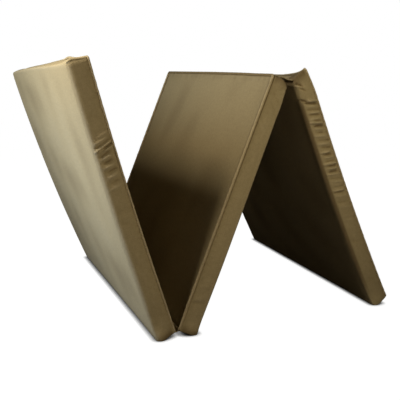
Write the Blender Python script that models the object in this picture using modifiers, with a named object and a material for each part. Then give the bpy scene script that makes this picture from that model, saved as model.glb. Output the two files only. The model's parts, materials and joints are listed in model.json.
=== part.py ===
"""A folding mattress: three foam panels in zipped cloth covers, joined by two cloth hinges.

Metres, +Z up. Y runs along the folds, with the near side at -Y, and the floor is Z = 0.
Each panel is shaped lying flat, with X from the mattress's head to its foot, +Z towards
the sleeping side and the origin in the middle of the sleeping side. A frame on the fold
that the panel turns about then tilts it to the standing pose.
"""

from math import asin, atan2, cos, hypot, pi, radians, sin, sqrt

import bmesh
import bpy
from mathutils import Vector

# Panels
END_PANEL_LENGTH = 0.648
MIDDLE_PANEL_LENGTH = 0.635
PANEL_WIDTH = 0.762
PANEL_THICKNESS = 0.048
FACE_CROWN = 0.0025
FREE_END_DRAW = 0.004
NEAR_SIDE_DRAW = 0.0015
BASE_EDGE_RADIUS = 0.009
FACE_CELLS = 8
BASE_EDGE_STEPS = 4
SEWN_EDGE_ANGLE = radians(50)
CORE_EDGE_STEPS = 2

# Cloth, the gap between pieces that touch, and what a cutter stands proud by
CLOTH = 0.0008
FIT_GAP = 0.0003
CUT_OVERRUN = 0.01

# Piping along the sleeping side's edge
PIPING_RADIUS = 0.002
PIPING_INSET = 0.001
PIPING_SIDES = 6
PIPING_CORNER_STEPS = 2

# Cloth hinges: the fold's axis stands off the faces and the ends that it joins
HINGE_RISE = 0.002
HINGE_REACH = 0.0026
HINGE_STRIP_LEG = 0.014
HINGE_STRIP_PIPING_ROOM = 0.0022
HINGE_STRIP_END_INSET = 0.006

# Zip in the far side of each panel
ZIP_END_MARGIN = 0.036
ZIP_HEIGHT = 0.022
TEETH_WIDTH = 0.0052
TEETH_DEPTH = 0.0024
TEETH_SLIT = 0.0012
STOP_LENGTH = 0.004
STOP_DEPTH = 0.0013

# Slider, its loop and its pull
SLIDER_LENGTH = 0.011
SLIDER_WIDTH = 0.0095
SLIDER_BACK = 0.0008
SLIDER_FRONT = 0.0012
NECK_LENGTH = 0.004
LOOP_WIDTH = 0.002
LOOP_BAR = 0.001
LOOP_LENGTH = 0.0068
PULL_LENGTH = 0.024
PULL_WIDTH = 0.0075
PULL_THICKNESS = 0.0012
PULL_CORNER_RADIUS = 0.0024
PULL_CORNER_STEPS = 4
LOOP_CLEARANCE = 0.0006
METAL_BEVEL = 0.0003

# Standing pose: the head panel's lean from upright, how far apart on the floor the middle
# and foot panels' edges stand, and how deep an edge rests flat
HEAD_LEAN = radians(17.8)
STANCE_LENGTH = 0.521
FLOOR_FLAT = 0.0005

HALF_WIDTH = PANEL_WIDTH / 2
MID_HEIGHT = -PANEL_THICKNESS / 2
SEAM_DEPTH = PIPING_INSET + PIPING_RADIUS + FIT_GAP
CORE_GAP = CLOTH + FIT_GAP
ZIP_ROOM = SLIDER_BACK + 2 * FIT_GAP
ZIP_INNER = -CLOTH
SLIDER_SEAT = ZIP_INNER + TEETH_DEPTH + FIT_GAP
NECK_WIDTH = TEETH_SLIT - 2 * FIT_GAP
LOOP_OPENING = hypot(PULL_THICKNESS, PULL_THICKNESS) + 2 * FIT_GAP
PULL_AXIS = SLIDER_SEAT + SLIDER_FRONT + LOOP_OPENING / 2
ZIP_REACH = PULL_AXIS + LOOP_OPENING / 2 + LOOP_BAR

KHAKI = (0.40, 0.32, 0.18)
KHAKI_EDGING = (0.36, 0.285, 0.16)
FOAM_CREAM = (0.78, 0.72, 0.55)
ZIP_BROWN = (0.20, 0.155, 0.085)
NICKEL = (0.62, 0.61, 0.58)


def clear_scene():
    for existing in list(bpy.data.objects):
        bpy.data.objects.remove(existing, do_unlink=True)


def new_collection(name):
    made = bpy.data.collections.new(name)
    bpy.context.scene.collection.children.link(made)
    return made


def new_material(name, colour, roughness, metallic=0.0):
    made = bpy.data.materials.new(name)
    made.use_nodes = True
    shader = made.node_tree.nodes["Principled BSDF"]
    shader.inputs["Base Color"].default_value = (*colour, 1.0)
    shader.inputs["Roughness"].default_value = roughness
    shader.inputs["Metallic"].default_value = metallic
    return made


clear_scene()
PARTS = new_collection("folding_mattress")
CUTTERS = new_collection("cutters")
COVER_CLOTH = new_material("cover cloth", KHAKI, 0.85)
EDGING_CLOTH = new_material("edging cloth", KHAKI_EDGING, 0.85)
CORE_FOAM = new_material("core foam", FOAM_CREAM, 0.95)
ZIP_NYLON = new_material("zip nylon", ZIP_BROWN, 0.6)
ZIP_METAL = new_material("zip metal", NICKEL, 0.35, 1.0)


def add_object(name, data, material=None, parent=None, place=(0.0, 0.0, 0.0), collection=PARTS):
    made = bpy.data.objects.new(name, data)
    made.parent = parent
    made.location = place
    if material:
        data.materials.append(material)
    collection.objects.link(made)
    return made


def add_cutter(name, data, parent=None, place=(0.0, 0.0, 0.0)):
    made = add_object(name, data, None, parent, place, CUTTERS)
    made.hide_render = True
    made.display_type = "WIRE"
    return made


def add_boolean(target, operation, other):
    made = target.modifiers.new(other.name, "BOOLEAN")
    made.operation = operation
    made.object = other


def mesh_of(bm, name):
    bmesh.ops.recalc_face_normals(bm, faces=bm.faces)
    mesh = bpy.data.meshes.new(name)
    bm.to_mesh(mesh)
    bm.free()
    return mesh


def soft_mesh(bm, name):
    """As mesh_of, and smooth but for its sewn edges."""
    mesh = mesh_of(bm, name)
    mesh.shade_smooth()
    mesh.set_sharp_from_angle(angle=SEWN_EDGE_ANGLE)
    return mesh


def add_box(bm, low, high):
    """A box between two corners, from a unit cube."""
    low, high = Vector(low), Vector(high)
    corners = bmesh.ops.create_cube(bm, size=1.0)["verts"]
    bmesh.ops.scale(bm, vec=high - low, verts=corners)
    bmesh.ops.translate(bm, vec=(low + high) / 2, verts=corners)


def box_mesh(name, low, high, bevel=0.0):
    bm = bmesh.new()
    add_box(bm, low, high)
    if bevel:
        bmesh.ops.bevel(bm, geom=bm.edges[:], offset=bevel, segments=1, affect="EDGES")
    return mesh_of(bm, name)


def turned(x, z, tilt):
    """A point of the XZ plane turned about Y, as a frame with that tilt turns it."""
    return Vector((x * cos(tilt) + z * sin(tilt), 0.0, z * cos(tilt) - x * sin(tilt)))


class Panel:
    """One panel's own sizes, and the frame that carries its pieces."""

    def __init__(self, name, length, frame, centre, zip_top, drawn_end=0):
        self.name = name
        self.half_length = length / 2
        self.frame = frame
        self.centre = Vector(centre)
        self.zip_top = zip_top
        self.drawn_end = drawn_end
        self.half_zip = self.half_length - ZIP_END_MARGIN

    def add(self, piece, data, material, offset=(0.0, 0.0, 0.0)):
        place = self.centre + Vector(offset)
        return add_object(self.name + "_" + piece, data, material, self.frame, place)

    def add_cutter(self, piece, data, offset=(0.0, 0.0, 0.0)):
        place = self.centre + Vector(offset)
        return add_cutter(self.name + "_" + piece, data, self.frame, place)

    def swollen(self, point):
        """Where a point of the plain block goes when the cover is sewn and stuffed."""
        x, y, z = point
        along = max(1.0 - (x / self.half_length) ** 2, 0.0)
        across = max(1.0 - (y / HALF_WIDTH) ** 2, 0.0)
        side = (z - MID_HEIGHT) / -MID_HEIGHT
        z += FACE_CROWN * along * across * side
        if x * self.drawn_end > 0.0:
            x -= FREE_END_DRAW * across * x / self.half_length
        if y < 0.0:
            y -= NEAR_SIDE_DRAW * along * y / HALF_WIDTH
        return Vector((x, y, z))


def cut_loops(bm, axis, positions):
    """Adds a loop of edges round the block at each position along an axis."""
    normal = Vector((0.0, 0.0, 0.0))
    normal[axis] = 1.0
    for position in positions:
        everything = bm.verts[:] + bm.edges[:] + bm.faces[:]
        bmesh.ops.bisect_plane(bm, geom=everything, plane_co=normal * position, plane_no=normal)


def edge_inset(depth, radius):
    """How far a rounded edge has drawn in at a depth past its start, from zero to its radius."""
    return radius - sqrt(radius * radius - min(max(depth, 0.0), radius) ** 2)


def panel_block(panel, low, high, base_radius=0.0, top_radius=0.0, steps=1):
    """A block with a grid on its faces and rounded long edges, swollen as the panel is."""
    bm = bmesh.new()
    add_box(bm, low, high)
    for axis in (0, 1):
        span = high[axis] - low[axis]
        cut_loops(bm, axis, [low[axis] + span * cell / FACE_CELLS for cell in range(1, FACE_CELLS)])
    base_start, top_start = low[2] + base_radius, high[2] - top_radius
    turns = [pi / 2 * step / steps for step in range(steps)]
    if base_radius:
        cut_loops(bm, 2, [base_start - base_radius * sin(turn) for turn in turns])
    if top_radius:
        cut_loops(bm, 2, [top_start + top_radius * sin(turn) for turn in turns])
    middle = (Vector(low) + Vector(high)) / 2
    for vert in bm.verts:
        inset = edge_inset(base_start - vert.co.z, base_radius)
        inset += edge_inset(vert.co.z - top_start, top_radius)
        for axis in (0, 1):
            half = high[axis] - middle[axis]
            vert.co[axis] = middle[axis] + (vert.co[axis] - middle[axis]) * (half - inset) / half
        vert.co = panel.swollen(vert.co)
    bm.normal_update()
    return bm


def add_foam_core(panel):
    """The slab of foam, a little short of the far side, where the zip's back runs."""
    low = (-panel.half_length + CORE_GAP, -HALF_WIDTH + CORE_GAP, -PANEL_THICKNESS + CORE_GAP)
    high = (panel.half_length - CORE_GAP, HALF_WIDTH - CORE_GAP - ZIP_ROOM, -CORE_GAP)
    radius = BASE_EDGE_RADIUS - CORE_GAP
    bm = panel_block(panel, low, high, radius, radius, CORE_EDGE_STEPS)
    panel.add("foam_core", soft_mesh(bm, "foam core"), CORE_FOAM)


def add_base_cover(panel, floor):
    """The cloth under the panel and up its four sides, with the zip's slot in the far side."""
    low = (-panel.half_length, -HALF_WIDTH, -PANEL_THICKNESS)
    high = (panel.half_length, HALF_WIDTH, -SEAM_DEPTH)
    bm = panel_block(panel, low, high, BASE_EDGE_RADIUS, 0.0, BASE_EDGE_STEPS)
    open_top = [face for face in bm.faces if face.normal.z > 0.5]
    bmesh.ops.delete(bm, geom=open_top, context="FACES")
    cover = panel.add("base_cover", soft_mesh(bm, "base cover"), COVER_CLOTH)
    cloth = cover.modifiers.new("cloth", "SOLIDIFY")
    cloth.thickness = CLOTH
    cloth.offset = -1.0
    cloth.use_even_offset = True
    slot = box_mesh(
        "zip slot",
        (-panel.half_zip, -CUT_OVERRUN, -ZIP_HEIGHT / 2),
        (panel.half_zip, CUT_OVERRUN, ZIP_HEIGHT / 2),
    )
    zip_centre = (0.0, HALF_WIDTH, MID_HEIGHT)
    add_boolean(cover, "DIFFERENCE", panel.add_cutter("zip_slot", slot, zip_centre))
    add_boolean(cover, "DIFFERENCE", floor)


def add_top_cover(panel):
    """The flat cloth over the sleeping side, which ends at the piping."""
    low = (-panel.half_length + SEAM_DEPTH, -HALF_WIDTH + SEAM_DEPTH, -CLOTH)
    high = (panel.half_length - SEAM_DEPTH, HALF_WIDTH - SEAM_DEPTH, 0.0)
    panel.add("top_cover", soft_mesh(panel_block(panel, low, high), "top cover"), COVER_CLOTH)


def piping_route(panel):
    """Points round the sleeping side's edge, each corner a small arc about the top cover's corner."""
    centre_x, centre_y = panel.half_length - SEAM_DEPTH, HALF_WIDTH - SEAM_DEPTH
    radius = PIPING_RADIUS + FIT_GAP
    corners = [(1, 1), (-1, 1), (-1, -1), (1, -1)]
    route = []
    for index, (sign_x, sign_y) in enumerate(corners):
        for step in range(PIPING_CORNER_STEPS + 1):
            turn = pi / 2 * (index + step / PIPING_CORNER_STEPS)
            x = sign_x * centre_x + radius * cos(turn)
            y = sign_y * centre_y + radius * sin(turn)
            route.append(Vector((x, y, -PIPING_INSET)))
        start = route[-1]
        next_x, next_y = corners[(index + 1) % len(corners)]
        turn = pi / 2 * (index + 1)
        end_x = next_x * centre_x + radius * cos(turn)
        end_y = next_y * centre_y + radius * sin(turn)
        end = Vector((end_x, end_y, start.z))
        route += [start.lerp(end, cell / FACE_CELLS) for cell in range(1, FACE_CELLS)]
    return route


def add_piping(panel):
    curve = bpy.data.curves.new("piping", "CURVE")
    curve.dimensions = "3D"
    spline = curve.splines.new("POLY")
    route = piping_route(panel)
    spline.points.add(len(route) - 1)
    for point, place in zip(spline.points, route):
        point.co = (*panel.swollen(place), 1.0)
    spline.use_cyclic_u = True
    curve.bevel_depth = PIPING_RADIUS
    curve.bevel_resolution = PIPING_SIDES // 2 - 2
    panel.add("piping", curve, EDGING_CLOTH)


def add_zip_tape(panel, side, piece):
    """Half of the zip: a tape along one edge of the slot, and its half of the teeth."""
    slit, shoulder = side * TEETH_SLIT / 2, side * (TEETH_SLIT + TEETH_WIDTH) / 2
    edge = side * (ZIP_HEIGHT / 2 - FIT_GAP)
    front, tape_front = ZIP_INNER + TEETH_DEPTH, ZIP_INNER + CLOTH
    section = [
        (ZIP_INNER, slit),
        (front, slit),
        (front, shoulder),
        (tape_front, shoulder),
        (tape_front, edge),
        (ZIP_INNER, edge),
    ]
    half = panel.half_zip - FIT_GAP
    bm = bmesh.new()
    end = bm.faces.new([bm.verts.new((-half, y, z)) for y, z in section])
    pushed = bmesh.ops.extrude_face_region(bm, geom=[end])["geom"]
    far_verts = [item for item in pushed if isinstance(item, bmesh.types.BMVert)]
    bmesh.ops.translate(bm, vec=(2 * half, 0.0, 0.0), verts=far_verts)
    panel.add(piece, mesh_of(bm, "zip tape"), ZIP_NYLON, (0.0, HALF_WIDTH, MID_HEIGHT))


def add_zip_stop(panel, end, piece):
    """The metal stop across the teeth at one end of the zip."""
    half_width = (TEETH_SLIT + TEETH_WIDTH) / 2
    stop = box_mesh(
        "zip stop",
        (-STOP_LENGTH / 2, SLIDER_SEAT, -half_width),
        (STOP_LENGTH / 2, SLIDER_SEAT + STOP_DEPTH, half_width),
        METAL_BEVEL,
    )
    along = end * (panel.half_zip - FIT_GAP - STOP_LENGTH / 2)
    panel.add(piece, stop, ZIP_METAL, (along, HALF_WIDTH, MID_HEIGHT))


def slider_blocks():
    """The boxes that make up the slider: front and back plates, the neck between them, and the loop."""
    half_x, half_z = SLIDER_LENGTH / 2, SLIDER_WIDTH / 2
    back_face = ZIP_INNER - FIT_GAP
    front_face = SLIDER_SEAT + SLIDER_FRONT
    plate_middle = SLIDER_SEAT + SLIDER_FRONT / 2
    loop_x, loop_z = LOOP_LENGTH / 2, LOOP_WIDTH / 2
    loop_under = front_face + LOOP_OPENING
    blocks = [
        ((-half_x, SLIDER_SEAT, -half_z), (half_x, front_face, half_z)),
        ((-half_x, back_face - SLIDER_BACK, -half_z), (half_x, back_face, half_z)),
        (
            (-NECK_LENGTH / 2, back_face - SLIDER_BACK / 2, -NECK_WIDTH / 2),
            (NECK_LENGTH / 2, plate_middle, NECK_WIDTH / 2),
        ),
        ((-loop_x, loop_under, -loop_z), (loop_x, loop_under + LOOP_BAR, loop_z)),
    ]
    bar_middle = loop_under + LOOP_BAR / 2
    for low_x in (-loop_x, loop_x - LOOP_BAR):
        blocks.append(((low_x, plate_middle, -loop_z), (low_x + LOOP_BAR, bar_middle, loop_z)))
    return blocks


def add_zip_slider(panel):
    """The slider, parked under the zip's top stop."""
    travel_end = panel.half_zip - FIT_GAP - STOP_LENGTH - FIT_GAP - SLIDER_LENGTH / 2
    place = (panel.zip_top * travel_end, HALF_WIDTH, MID_HEIGHT)
    first, *others = slider_blocks()
    slider = panel.add("zip_slider", box_mesh("slider", *first), ZIP_METAL, place)
    for index, block in enumerate(others):
        other = panel.add_cutter(f"slider_block_{index}", box_mesh("slider block", *block), place)
        add_boolean(slider, "UNION", other)
    return slider


def rounded_outline(low_x, high_x, half_width, radius):
    """A flat oblong with rounded corners, as points in order."""
    points = []
    centres = [
        (high_x - radius, half_width - radius),
        (low_x + radius, half_width - radius),
        (low_x + radius, radius - half_width),
        (high_x - radius, radius - half_width),
    ]
    for index, (x, y) in enumerate(centres):
        for step in range(PULL_CORNER_STEPS + 1):
            turn = pi / 2 * (index + step / PULL_CORNER_STEPS)
            points.append((x + radius * cos(turn), y + radius * sin(turn)))
    return points


def add_zip_pull(panel, slider):
    """The flat pull, hung by its end bar in the slider's loop and pointing down the zip."""
    bar = PULL_THICKNESS / 2
    loop_corner = hypot(LOOP_LENGTH / 2, LOOP_OPENING / 2 + LOOP_BAR)
    window = (bar, loop_corner + LOOP_CLEARANCE, LOOP_WIDTH / 2 + LOOP_CLEARANCE)
    down = -panel.zip_top
    curve = bpy.data.curves.new("zip pull", "CURVE")
    curve.dimensions = "2D"
    curve.fill_mode = "BOTH"
    curve.extrude = PULL_THICKNESS / 2
    outlines = (
        rounded_outline(-bar, PULL_LENGTH - bar, PULL_WIDTH / 2, PULL_CORNER_RADIUS),
        rounded_outline(*window, LOOP_CLEARANCE),
    )
    for outline in outlines:
        spline = curve.splines.new("POLY")
        spline.points.add(len(outline) - 1)
        for point, (x, y) in zip(spline.points, outline):
            point.co = (down * x, y, 0.0, 1.0)
        spline.use_cyclic_u = True
    pull = add_object(panel.name + "_zip_pull", curve, ZIP_METAL, slider, (0.0, PULL_AXIS, 0.0))
    pull.rotation_euler = (pi / 2, 0.0, 0.0)


def strip_leg(side, reach, away, drop):
    """A hinge strip's run along one panel's end wall, in that panel's flat XZ plane from the axis."""
    x = side * (reach - FIT_GAP - CLOTH / 2)
    start = HINGE_RISE + drop
    return [(x, away * start), (x, away * (start + HINGE_STRIP_LEG))]


def add_hinge_strip(name, axis_place, legs):
    """The cloth of one fold: up one end wall, over the axis and down the other end wall."""
    (first_points, first_tilt), (second_points, second_tilt) = legs
    line = [turned(x, z, first_tilt) for x, z in reversed(first_points)]
    line.append(Vector((0.0, 0.0, 0.0)))
    line += [turned(x, z, second_tilt) for x, z in second_points]
    half = HALF_WIDTH - HINGE_STRIP_END_INSET
    bm = bmesh.new()
    near = [bm.verts.new(point - Vector((0.0, half, 0.0))) for point in line]
    edges = [bm.edges.new(pair) for pair in zip(near, near[1:])]
    pushed = bmesh.ops.extrude_edge_only(bm, edges=edges)["geom"]
    far = [item for item in pushed if isinstance(item, bmesh.types.BMVert)]
    bmesh.ops.translate(bm, vec=(0.0, 2 * half, 0.0), verts=far)
    strip = add_object(name, mesh_of(bm, "hinge strip"), EDGING_CLOTH, None, axis_place)
    cloth = strip.modifiers.new("cloth", "SOLIDIFY")
    cloth.thickness = CLOTH
    cloth.offset = 0.0
    cloth.use_even_offset = True


def add_frame(name, place, tilt):
    """An empty on a fold's axis, turned to a panel's tilt."""
    made = add_object(name, None, place=place)
    made.rotation_euler = (0.0, tilt, 0.0)
    return made


def add_panel(panel, floor):
    add_foam_core(panel)
    add_base_cover(panel, floor)
    add_top_cover(panel)
    add_piping(panel)
    add_zip_tape(panel, 1, "zip_tape_top")
    add_zip_tape(panel, -1, "zip_tape_base")
    add_zip_stop(panel, panel.zip_top, "zip_top_stop")
    add_zip_stop(panel, -panel.zip_top, "zip_bottom_stop")
    add_zip_pull(panel, add_zip_slider(panel))


def edge_height(reach, lean):
    """How far a panel's rounded under edge reaches below the lower fold's axis."""
    centre_rise = (reach + BASE_EDGE_RADIUS) * cos(lean)
    centre_drop = (HINGE_RISE + PANEL_THICKNESS - BASE_EDGE_RADIUS) * sin(lean)
    return centre_drop - centre_rise + BASE_EDGE_RADIUS


def standing_lean(length, other_length):
    """The lean of one of the two panels that stand as an A under the upper fold.

    The axis and the centres of the two rounded edges on the floor make a triangle,
    with the length of the stance as its base.
    """
    offset = HINGE_RISE + BASE_EDGE_RADIUS
    run, other_run = (HINGE_REACH + each - BASE_EDGE_RADIUS for each in (length, other_length))
    leg, other_leg = hypot(run, offset), hypot(other_run, offset)
    base_cosine = (leg**2 + STANCE_LENGTH**2 - other_leg**2) / (2 * leg * STANCE_LENGTH)
    return asin(base_cosine) - atan2(offset, run)


def build():
    middle_lean = standing_lean(MIDDLE_PANEL_LENGTH, END_PANEL_LENGTH)
    foot_lean = standing_lean(END_PANEL_LENGTH, MIDDLE_PANEL_LENGTH)
    head_tilt, middle_tilt, foot_tilt = pi / 2 - HEAD_LEAN, middle_lean - pi / 2, pi / 2 - foot_lean
    # The lower fold is as high as rests both its panels' edges on the floor, pressed flat.
    # The panel whose edge would reach lower hangs that much further up from the axis.
    leans = (HEAD_LEAN, middle_lean)
    edge_heights = [edge_height(HINGE_REACH, lean) for lean in leans]
    lowest = min(edge_heights)
    lower_height = lowest - FLOOR_FLAT
    head_reach, middle_reach = (
        HINGE_REACH + (each - lowest) / cos(lean) for each, lean in zip(edge_heights, leans)
    )
    across_fold = -2 * HINGE_RISE - PANEL_THICKNESS
    upper = turned(middle_reach + MIDDLE_PANEL_LENGTH + HINGE_REACH, across_fold, middle_tilt)
    upper.z += lower_height

    # The origin is on the floor, in the middle of what the mattress covers.
    head_end = -head_reach - END_PANEL_LENGTH + BASE_EDGE_RADIUS
    head_under = -HINGE_RISE - PANEL_THICKNESS + BASE_EDGE_RADIUS
    left = turned(head_end, head_under, head_tilt).x - BASE_EDGE_RADIUS
    foot_corner = HINGE_REACH + END_PANEL_LENGTH - PIPING_INSET
    foot_top = HINGE_RISE + PANEL_THICKNESS - PIPING_INSET
    right = upper.x + turned(foot_corner, foot_top, foot_tilt).x + PIPING_RADIUS
    near, far = -HALF_WIDTH - PIPING_RADIUS + PIPING_INSET, HALF_WIDTH + ZIP_REACH
    lower_place = Vector((-(left + right) / 2, -(near + far) / 2, lower_height))
    upper_place = Vector((lower_place.x + upper.x, lower_place.y, upper.z))

    floor_low = (left + lower_place.x, near + lower_place.y, -CUT_OVERRUN)
    floor_high = (right + lower_place.x, far + lower_place.y, 0.0)
    floor = add_cutter("floor", box_mesh("floor", floor_low, floor_high))

    head_frame = add_frame("head_frame", lower_place, head_tilt)
    middle_frame = add_frame("middle_frame", lower_place, middle_tilt)
    foot_frame = add_frame("foot_frame", upper_place, foot_tilt)
    head_centre = (-head_reach - END_PANEL_LENGTH / 2, 0.0, -HINGE_RISE)
    middle_centre = (middle_reach + MIDDLE_PANEL_LENGTH / 2, 0.0, -HINGE_RISE)
    foot_centre = (HINGE_REACH + END_PANEL_LENGTH / 2, 0.0, HINGE_RISE + PANEL_THICKNESS)
    panels = (
        Panel("head", END_PANEL_LENGTH, head_frame, head_centre, zip_top=-1, drawn_end=-1),
        Panel("middle", MIDDLE_PANEL_LENGTH, middle_frame, middle_centre, zip_top=1),
        Panel("foot", END_PANEL_LENGTH, foot_frame, foot_centre, zip_top=-1),
    )
    for panel in panels:
        add_panel(panel, floor)

    lower_legs = (
        (strip_leg(-1, head_reach, -1, SEAM_DEPTH + HINGE_STRIP_PIPING_ROOM), head_tilt),
        (strip_leg(1, middle_reach, -1, SEAM_DEPTH + HINGE_STRIP_PIPING_ROOM), middle_tilt),
    )
    upper_legs = (
        (strip_leg(-1, HINGE_REACH, 1, BASE_EDGE_RADIUS), middle_tilt),
        (strip_leg(1, HINGE_REACH, 1, BASE_EDGE_RADIUS), foot_tilt),
    )
    add_hinge_strip("lower_hinge_strip", lower_place, lower_legs)
    add_hinge_strip("upper_hinge_strip", upper_place, upper_legs)


build()
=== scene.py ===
"""The looks of the folding mattress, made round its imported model.

Metres, +Z up. Each panel's pieces are shaped lying flat, with X from the mattress's head
to its foot, +Z towards the sleeping side and the origin in the middle of that side, and
then set up in the panel's place. Its near side is at -Y and its zip in the far side.
"""

import json
from math import cos, hypot, pi, radians, sin

import bmesh
import bpy
import numpy as np
from mathutils import Matrix, Vector


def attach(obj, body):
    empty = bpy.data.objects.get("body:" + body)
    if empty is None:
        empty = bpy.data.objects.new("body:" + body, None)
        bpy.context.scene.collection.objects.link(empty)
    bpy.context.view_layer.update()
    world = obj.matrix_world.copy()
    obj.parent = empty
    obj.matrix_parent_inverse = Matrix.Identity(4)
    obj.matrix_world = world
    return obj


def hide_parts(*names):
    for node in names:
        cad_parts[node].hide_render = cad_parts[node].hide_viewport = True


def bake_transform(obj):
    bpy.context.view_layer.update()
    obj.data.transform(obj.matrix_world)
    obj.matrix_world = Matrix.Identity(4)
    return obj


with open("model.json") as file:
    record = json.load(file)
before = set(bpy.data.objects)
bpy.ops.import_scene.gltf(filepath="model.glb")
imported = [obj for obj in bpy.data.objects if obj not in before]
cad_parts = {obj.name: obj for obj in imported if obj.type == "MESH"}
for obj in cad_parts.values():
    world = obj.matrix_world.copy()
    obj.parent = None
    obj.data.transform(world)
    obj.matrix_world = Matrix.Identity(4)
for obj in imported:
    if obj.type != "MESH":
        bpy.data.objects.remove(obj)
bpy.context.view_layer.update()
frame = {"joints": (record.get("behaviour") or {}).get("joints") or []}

# Panels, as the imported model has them
END_PANEL_LENGTH = 0.648
MIDDLE_PANEL_LENGTH = 0.635
HALF_WIDTH = 0.381
THICKNESS = 0.048
FACE_CROWN = 0.0025
FREE_END_DRAW = 0.004
NEAR_SIDE_DRAW = 0.0015
SEAM_DEPTH = 0.0033
HINGE_RISE = 0.002
HINGE_REACH = 0.0026
MIDDLE_REACH = 0.00588
EDGE_RADIUS = 0.009
CLOTH = 0.0008
WALL = THICKNESS - SEAM_DEPTH

# Zip
ZIP_END_MARGIN = 0.036
ZIP_HALF_HEIGHT = 0.011
ZIP_LEVEL = -THICKNESS / 2
ZIP_INNER = -0.0008
TEETH_DEPTH = 0.0024
TEETH_WIDTH = 0.0052
TEETH_SLIT = 0.0012
TEETH_PITCH = 0.0019
FIT_GAP = 0.0003
STOP_LENGTH = 0.004
STOP_DEPTH = 0.0013
SLIDER_SEAT = 0.0019
SLIDER_LENGTH = 0.011
SLIDER_BACK = 0.0008
SLIDER_FRONT = 0.0012
NECK_LENGTH = 0.004
LOOP_WIDTH = 0.002
LOOP_BAR = 0.001
LOOP_LENGTH = 0.0068
LOOP_OPENING = 0.0023
PULL_AXIS = 0.00425
PULL_LENGTH = 0.024
PULL_WIDTH = 0.0075
PULL_THICKNESS = 0.0012
COIL_WIRE = 0.00036
# The tape's section, out from the side and away from the zip's middle line
TAPE_SECTION = (
    (-0.0002, 0.0026), (0.0, 0.0034), (-0.0001, 0.0055), (-0.0001, 0.0080), (-0.0002, 0.0104),
    (-0.0010, 0.0112), (-0.0010, 0.0142),
)
# Half of the slider's outline, from its nose back
SLIDER_SIDE = (
    (0.0049, 0.0008), (0.0055, 0.0020), (0.0053, 0.0038), (0.0040, 0.00475), (0.0018, 0.00465),
    (-0.0008, 0.0041), (-0.0036, 0.0037), (-0.0050, 0.0034), (-0.0055, 0.0024), (-0.0055, 0.0008),
)

# How the standing panels give: the head's free end and the foot's floor end are twisted,
# and both panels bow towards their outer faces.
HEAD_TWIST_NEAR = 0.015
HEAD_TWIST_FAR_BASE = -0.015
HEAD_TWIST_FAR_TOP = -0.006
HEAD_BOW = 0.0049
FOOT_TWIST_NEAR = -0.0134
FOOT_TWIST_FAR = 0.003
FOOT_BOW = 0.00645
HEAD_FAR_BASE_BOW = 2.2
FAR_BOW_SHARE = 0.3

# Hinge strips
HINGE_STRIP_LEG = 0.014
HINGE_STRIP_PIPING_ROOM = 0.0022
HINGE_STRIP_END_INSET = 0.006

# Sewn pieces: the hem's rises and insets above the seam, the piping, the top cover, the thread
HEM = ((0.0003, 0.0015), (0.0004, 0.0042))
PIPING_INSET = 0.0020
PIPING_SIDES = 14
TOP_COVER_INSET = 0.0026
STITCH_LENGTH = 0.0027
THREAD_RADIUS = 0.0003
# The cosine and sine of the turn of cloth cut on the bias
DIAGONAL = 0.7071

# How far round a panel's edge its sides' folds reach
NEAR_FOLDS_REACH = 0.016
FAR_FOLDS_REACH = 0.012
END_FOLDS_REACH = 0.014

# Foam
FOAM_GAP = 0.0016
FOAM_ZIP_ROOM = 0.0014
FOAM_EDGE = 0.008

# How the covers are left to settle, and how far a point may move in it
SETTLING = {
    "quality": 6, "mass": 0.25, "tension_stiffness": 20, "compression_stiffness": 20,
    "shear_stiffness": 6, "bending_stiffness": 0.4, "air_damping": 3,
    "vertex_group_mass": "sewn", "use_pressure": True, "uniform_pressure_force": 1.2,
}
SETTLING_FRAMES = 20
MOST_SETTLED = 0.0015

# Floor: how far from the mattress its contact shadow reaches, and its colours where it is
# seen and where it only throws light back
CONTACT_SHADOW_REACH = 0.014
FLOOR_SEEN = (0.10, 0.10, 0.10)
FLOOR_UNSEEN = (0.06, 0.055, 0.05)

# Grid of the sewn covers
EDGE_STEPS = (0.0, 0.0014, 0.0032, 0.0056, 0.009)
FINE_CELL = 0.004
COARSE_CELL = 0.014
FINE_BAND = 0.044
# Where the near side's folds lie, down from the top: the mesh is twice as fine there
FOLDED_BANDS = {"head": (0.145, 0.300), "foot": (0.012, 0.330)}

JOINTS = {joint["name"]: joint for joint in frame["joints"]}
SCENE = bpy.context.scene
RANDOM = np.random.default_rng(7)


def unit(value):
    """A share, kept from 0 to 1."""
    return np.clip(value, 0.0, 1.0)


def smooth_step(value, low, high):
    """Goes smoothly from 0 at low to 1 at high."""
    share = unit((value - low) / (high - low))
    return share * share * (3.0 - 2.0 * share)


def bell(distance, width):
    """1 in the middle, less than half at the width, and soon 0."""
    return np.exp(-((distance / width) ** 2))


# Objects and meshes


def new_piece(name, mesh, slot, body=None, replaced=()):
    """A piece in one of the record's finishes, riding a body and standing for nodes of the model."""
    made = bpy.data.objects.new(name, mesh)
    SCENE.collection.objects.link(made)
    mesh.materials.append(MATERIALS[slot])
    if body:
        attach(made, body)
    if replaced:
        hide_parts(*replaced)
    return made


def thicken(sheet):
    """Gives a sheet of cloth its thickness, inwards."""
    cloth = sheet.modifiers.new("cloth", "SOLIDIFY")
    cloth.thickness = CLOTH
    cloth.offset = -1.0


def mesh_from(name, points, faces, flat_places=None, marks=None):
    """A smooth mesh with, where given, its cloth's flat places as UVs in metres and marks per point."""
    mesh = bpy.data.meshes.new(name)
    mesh.from_pydata([tuple(p) for p in points], [], faces)
    mesh.shade_smooth()
    if flat_places is not None:
        layer = mesh.uv_layers.new(name="cloth")
        layer.data.foreach_set("uv", np.asarray(flat_places, np.float32).ravel())
    for key, values in (marks or {}).items():
        attribute = mesh.attributes.new(key, "FLOAT", "POINT")
        attribute.data.foreach_set("value", np.asarray(values, np.float32))
    mesh.update()
    return mesh


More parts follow.
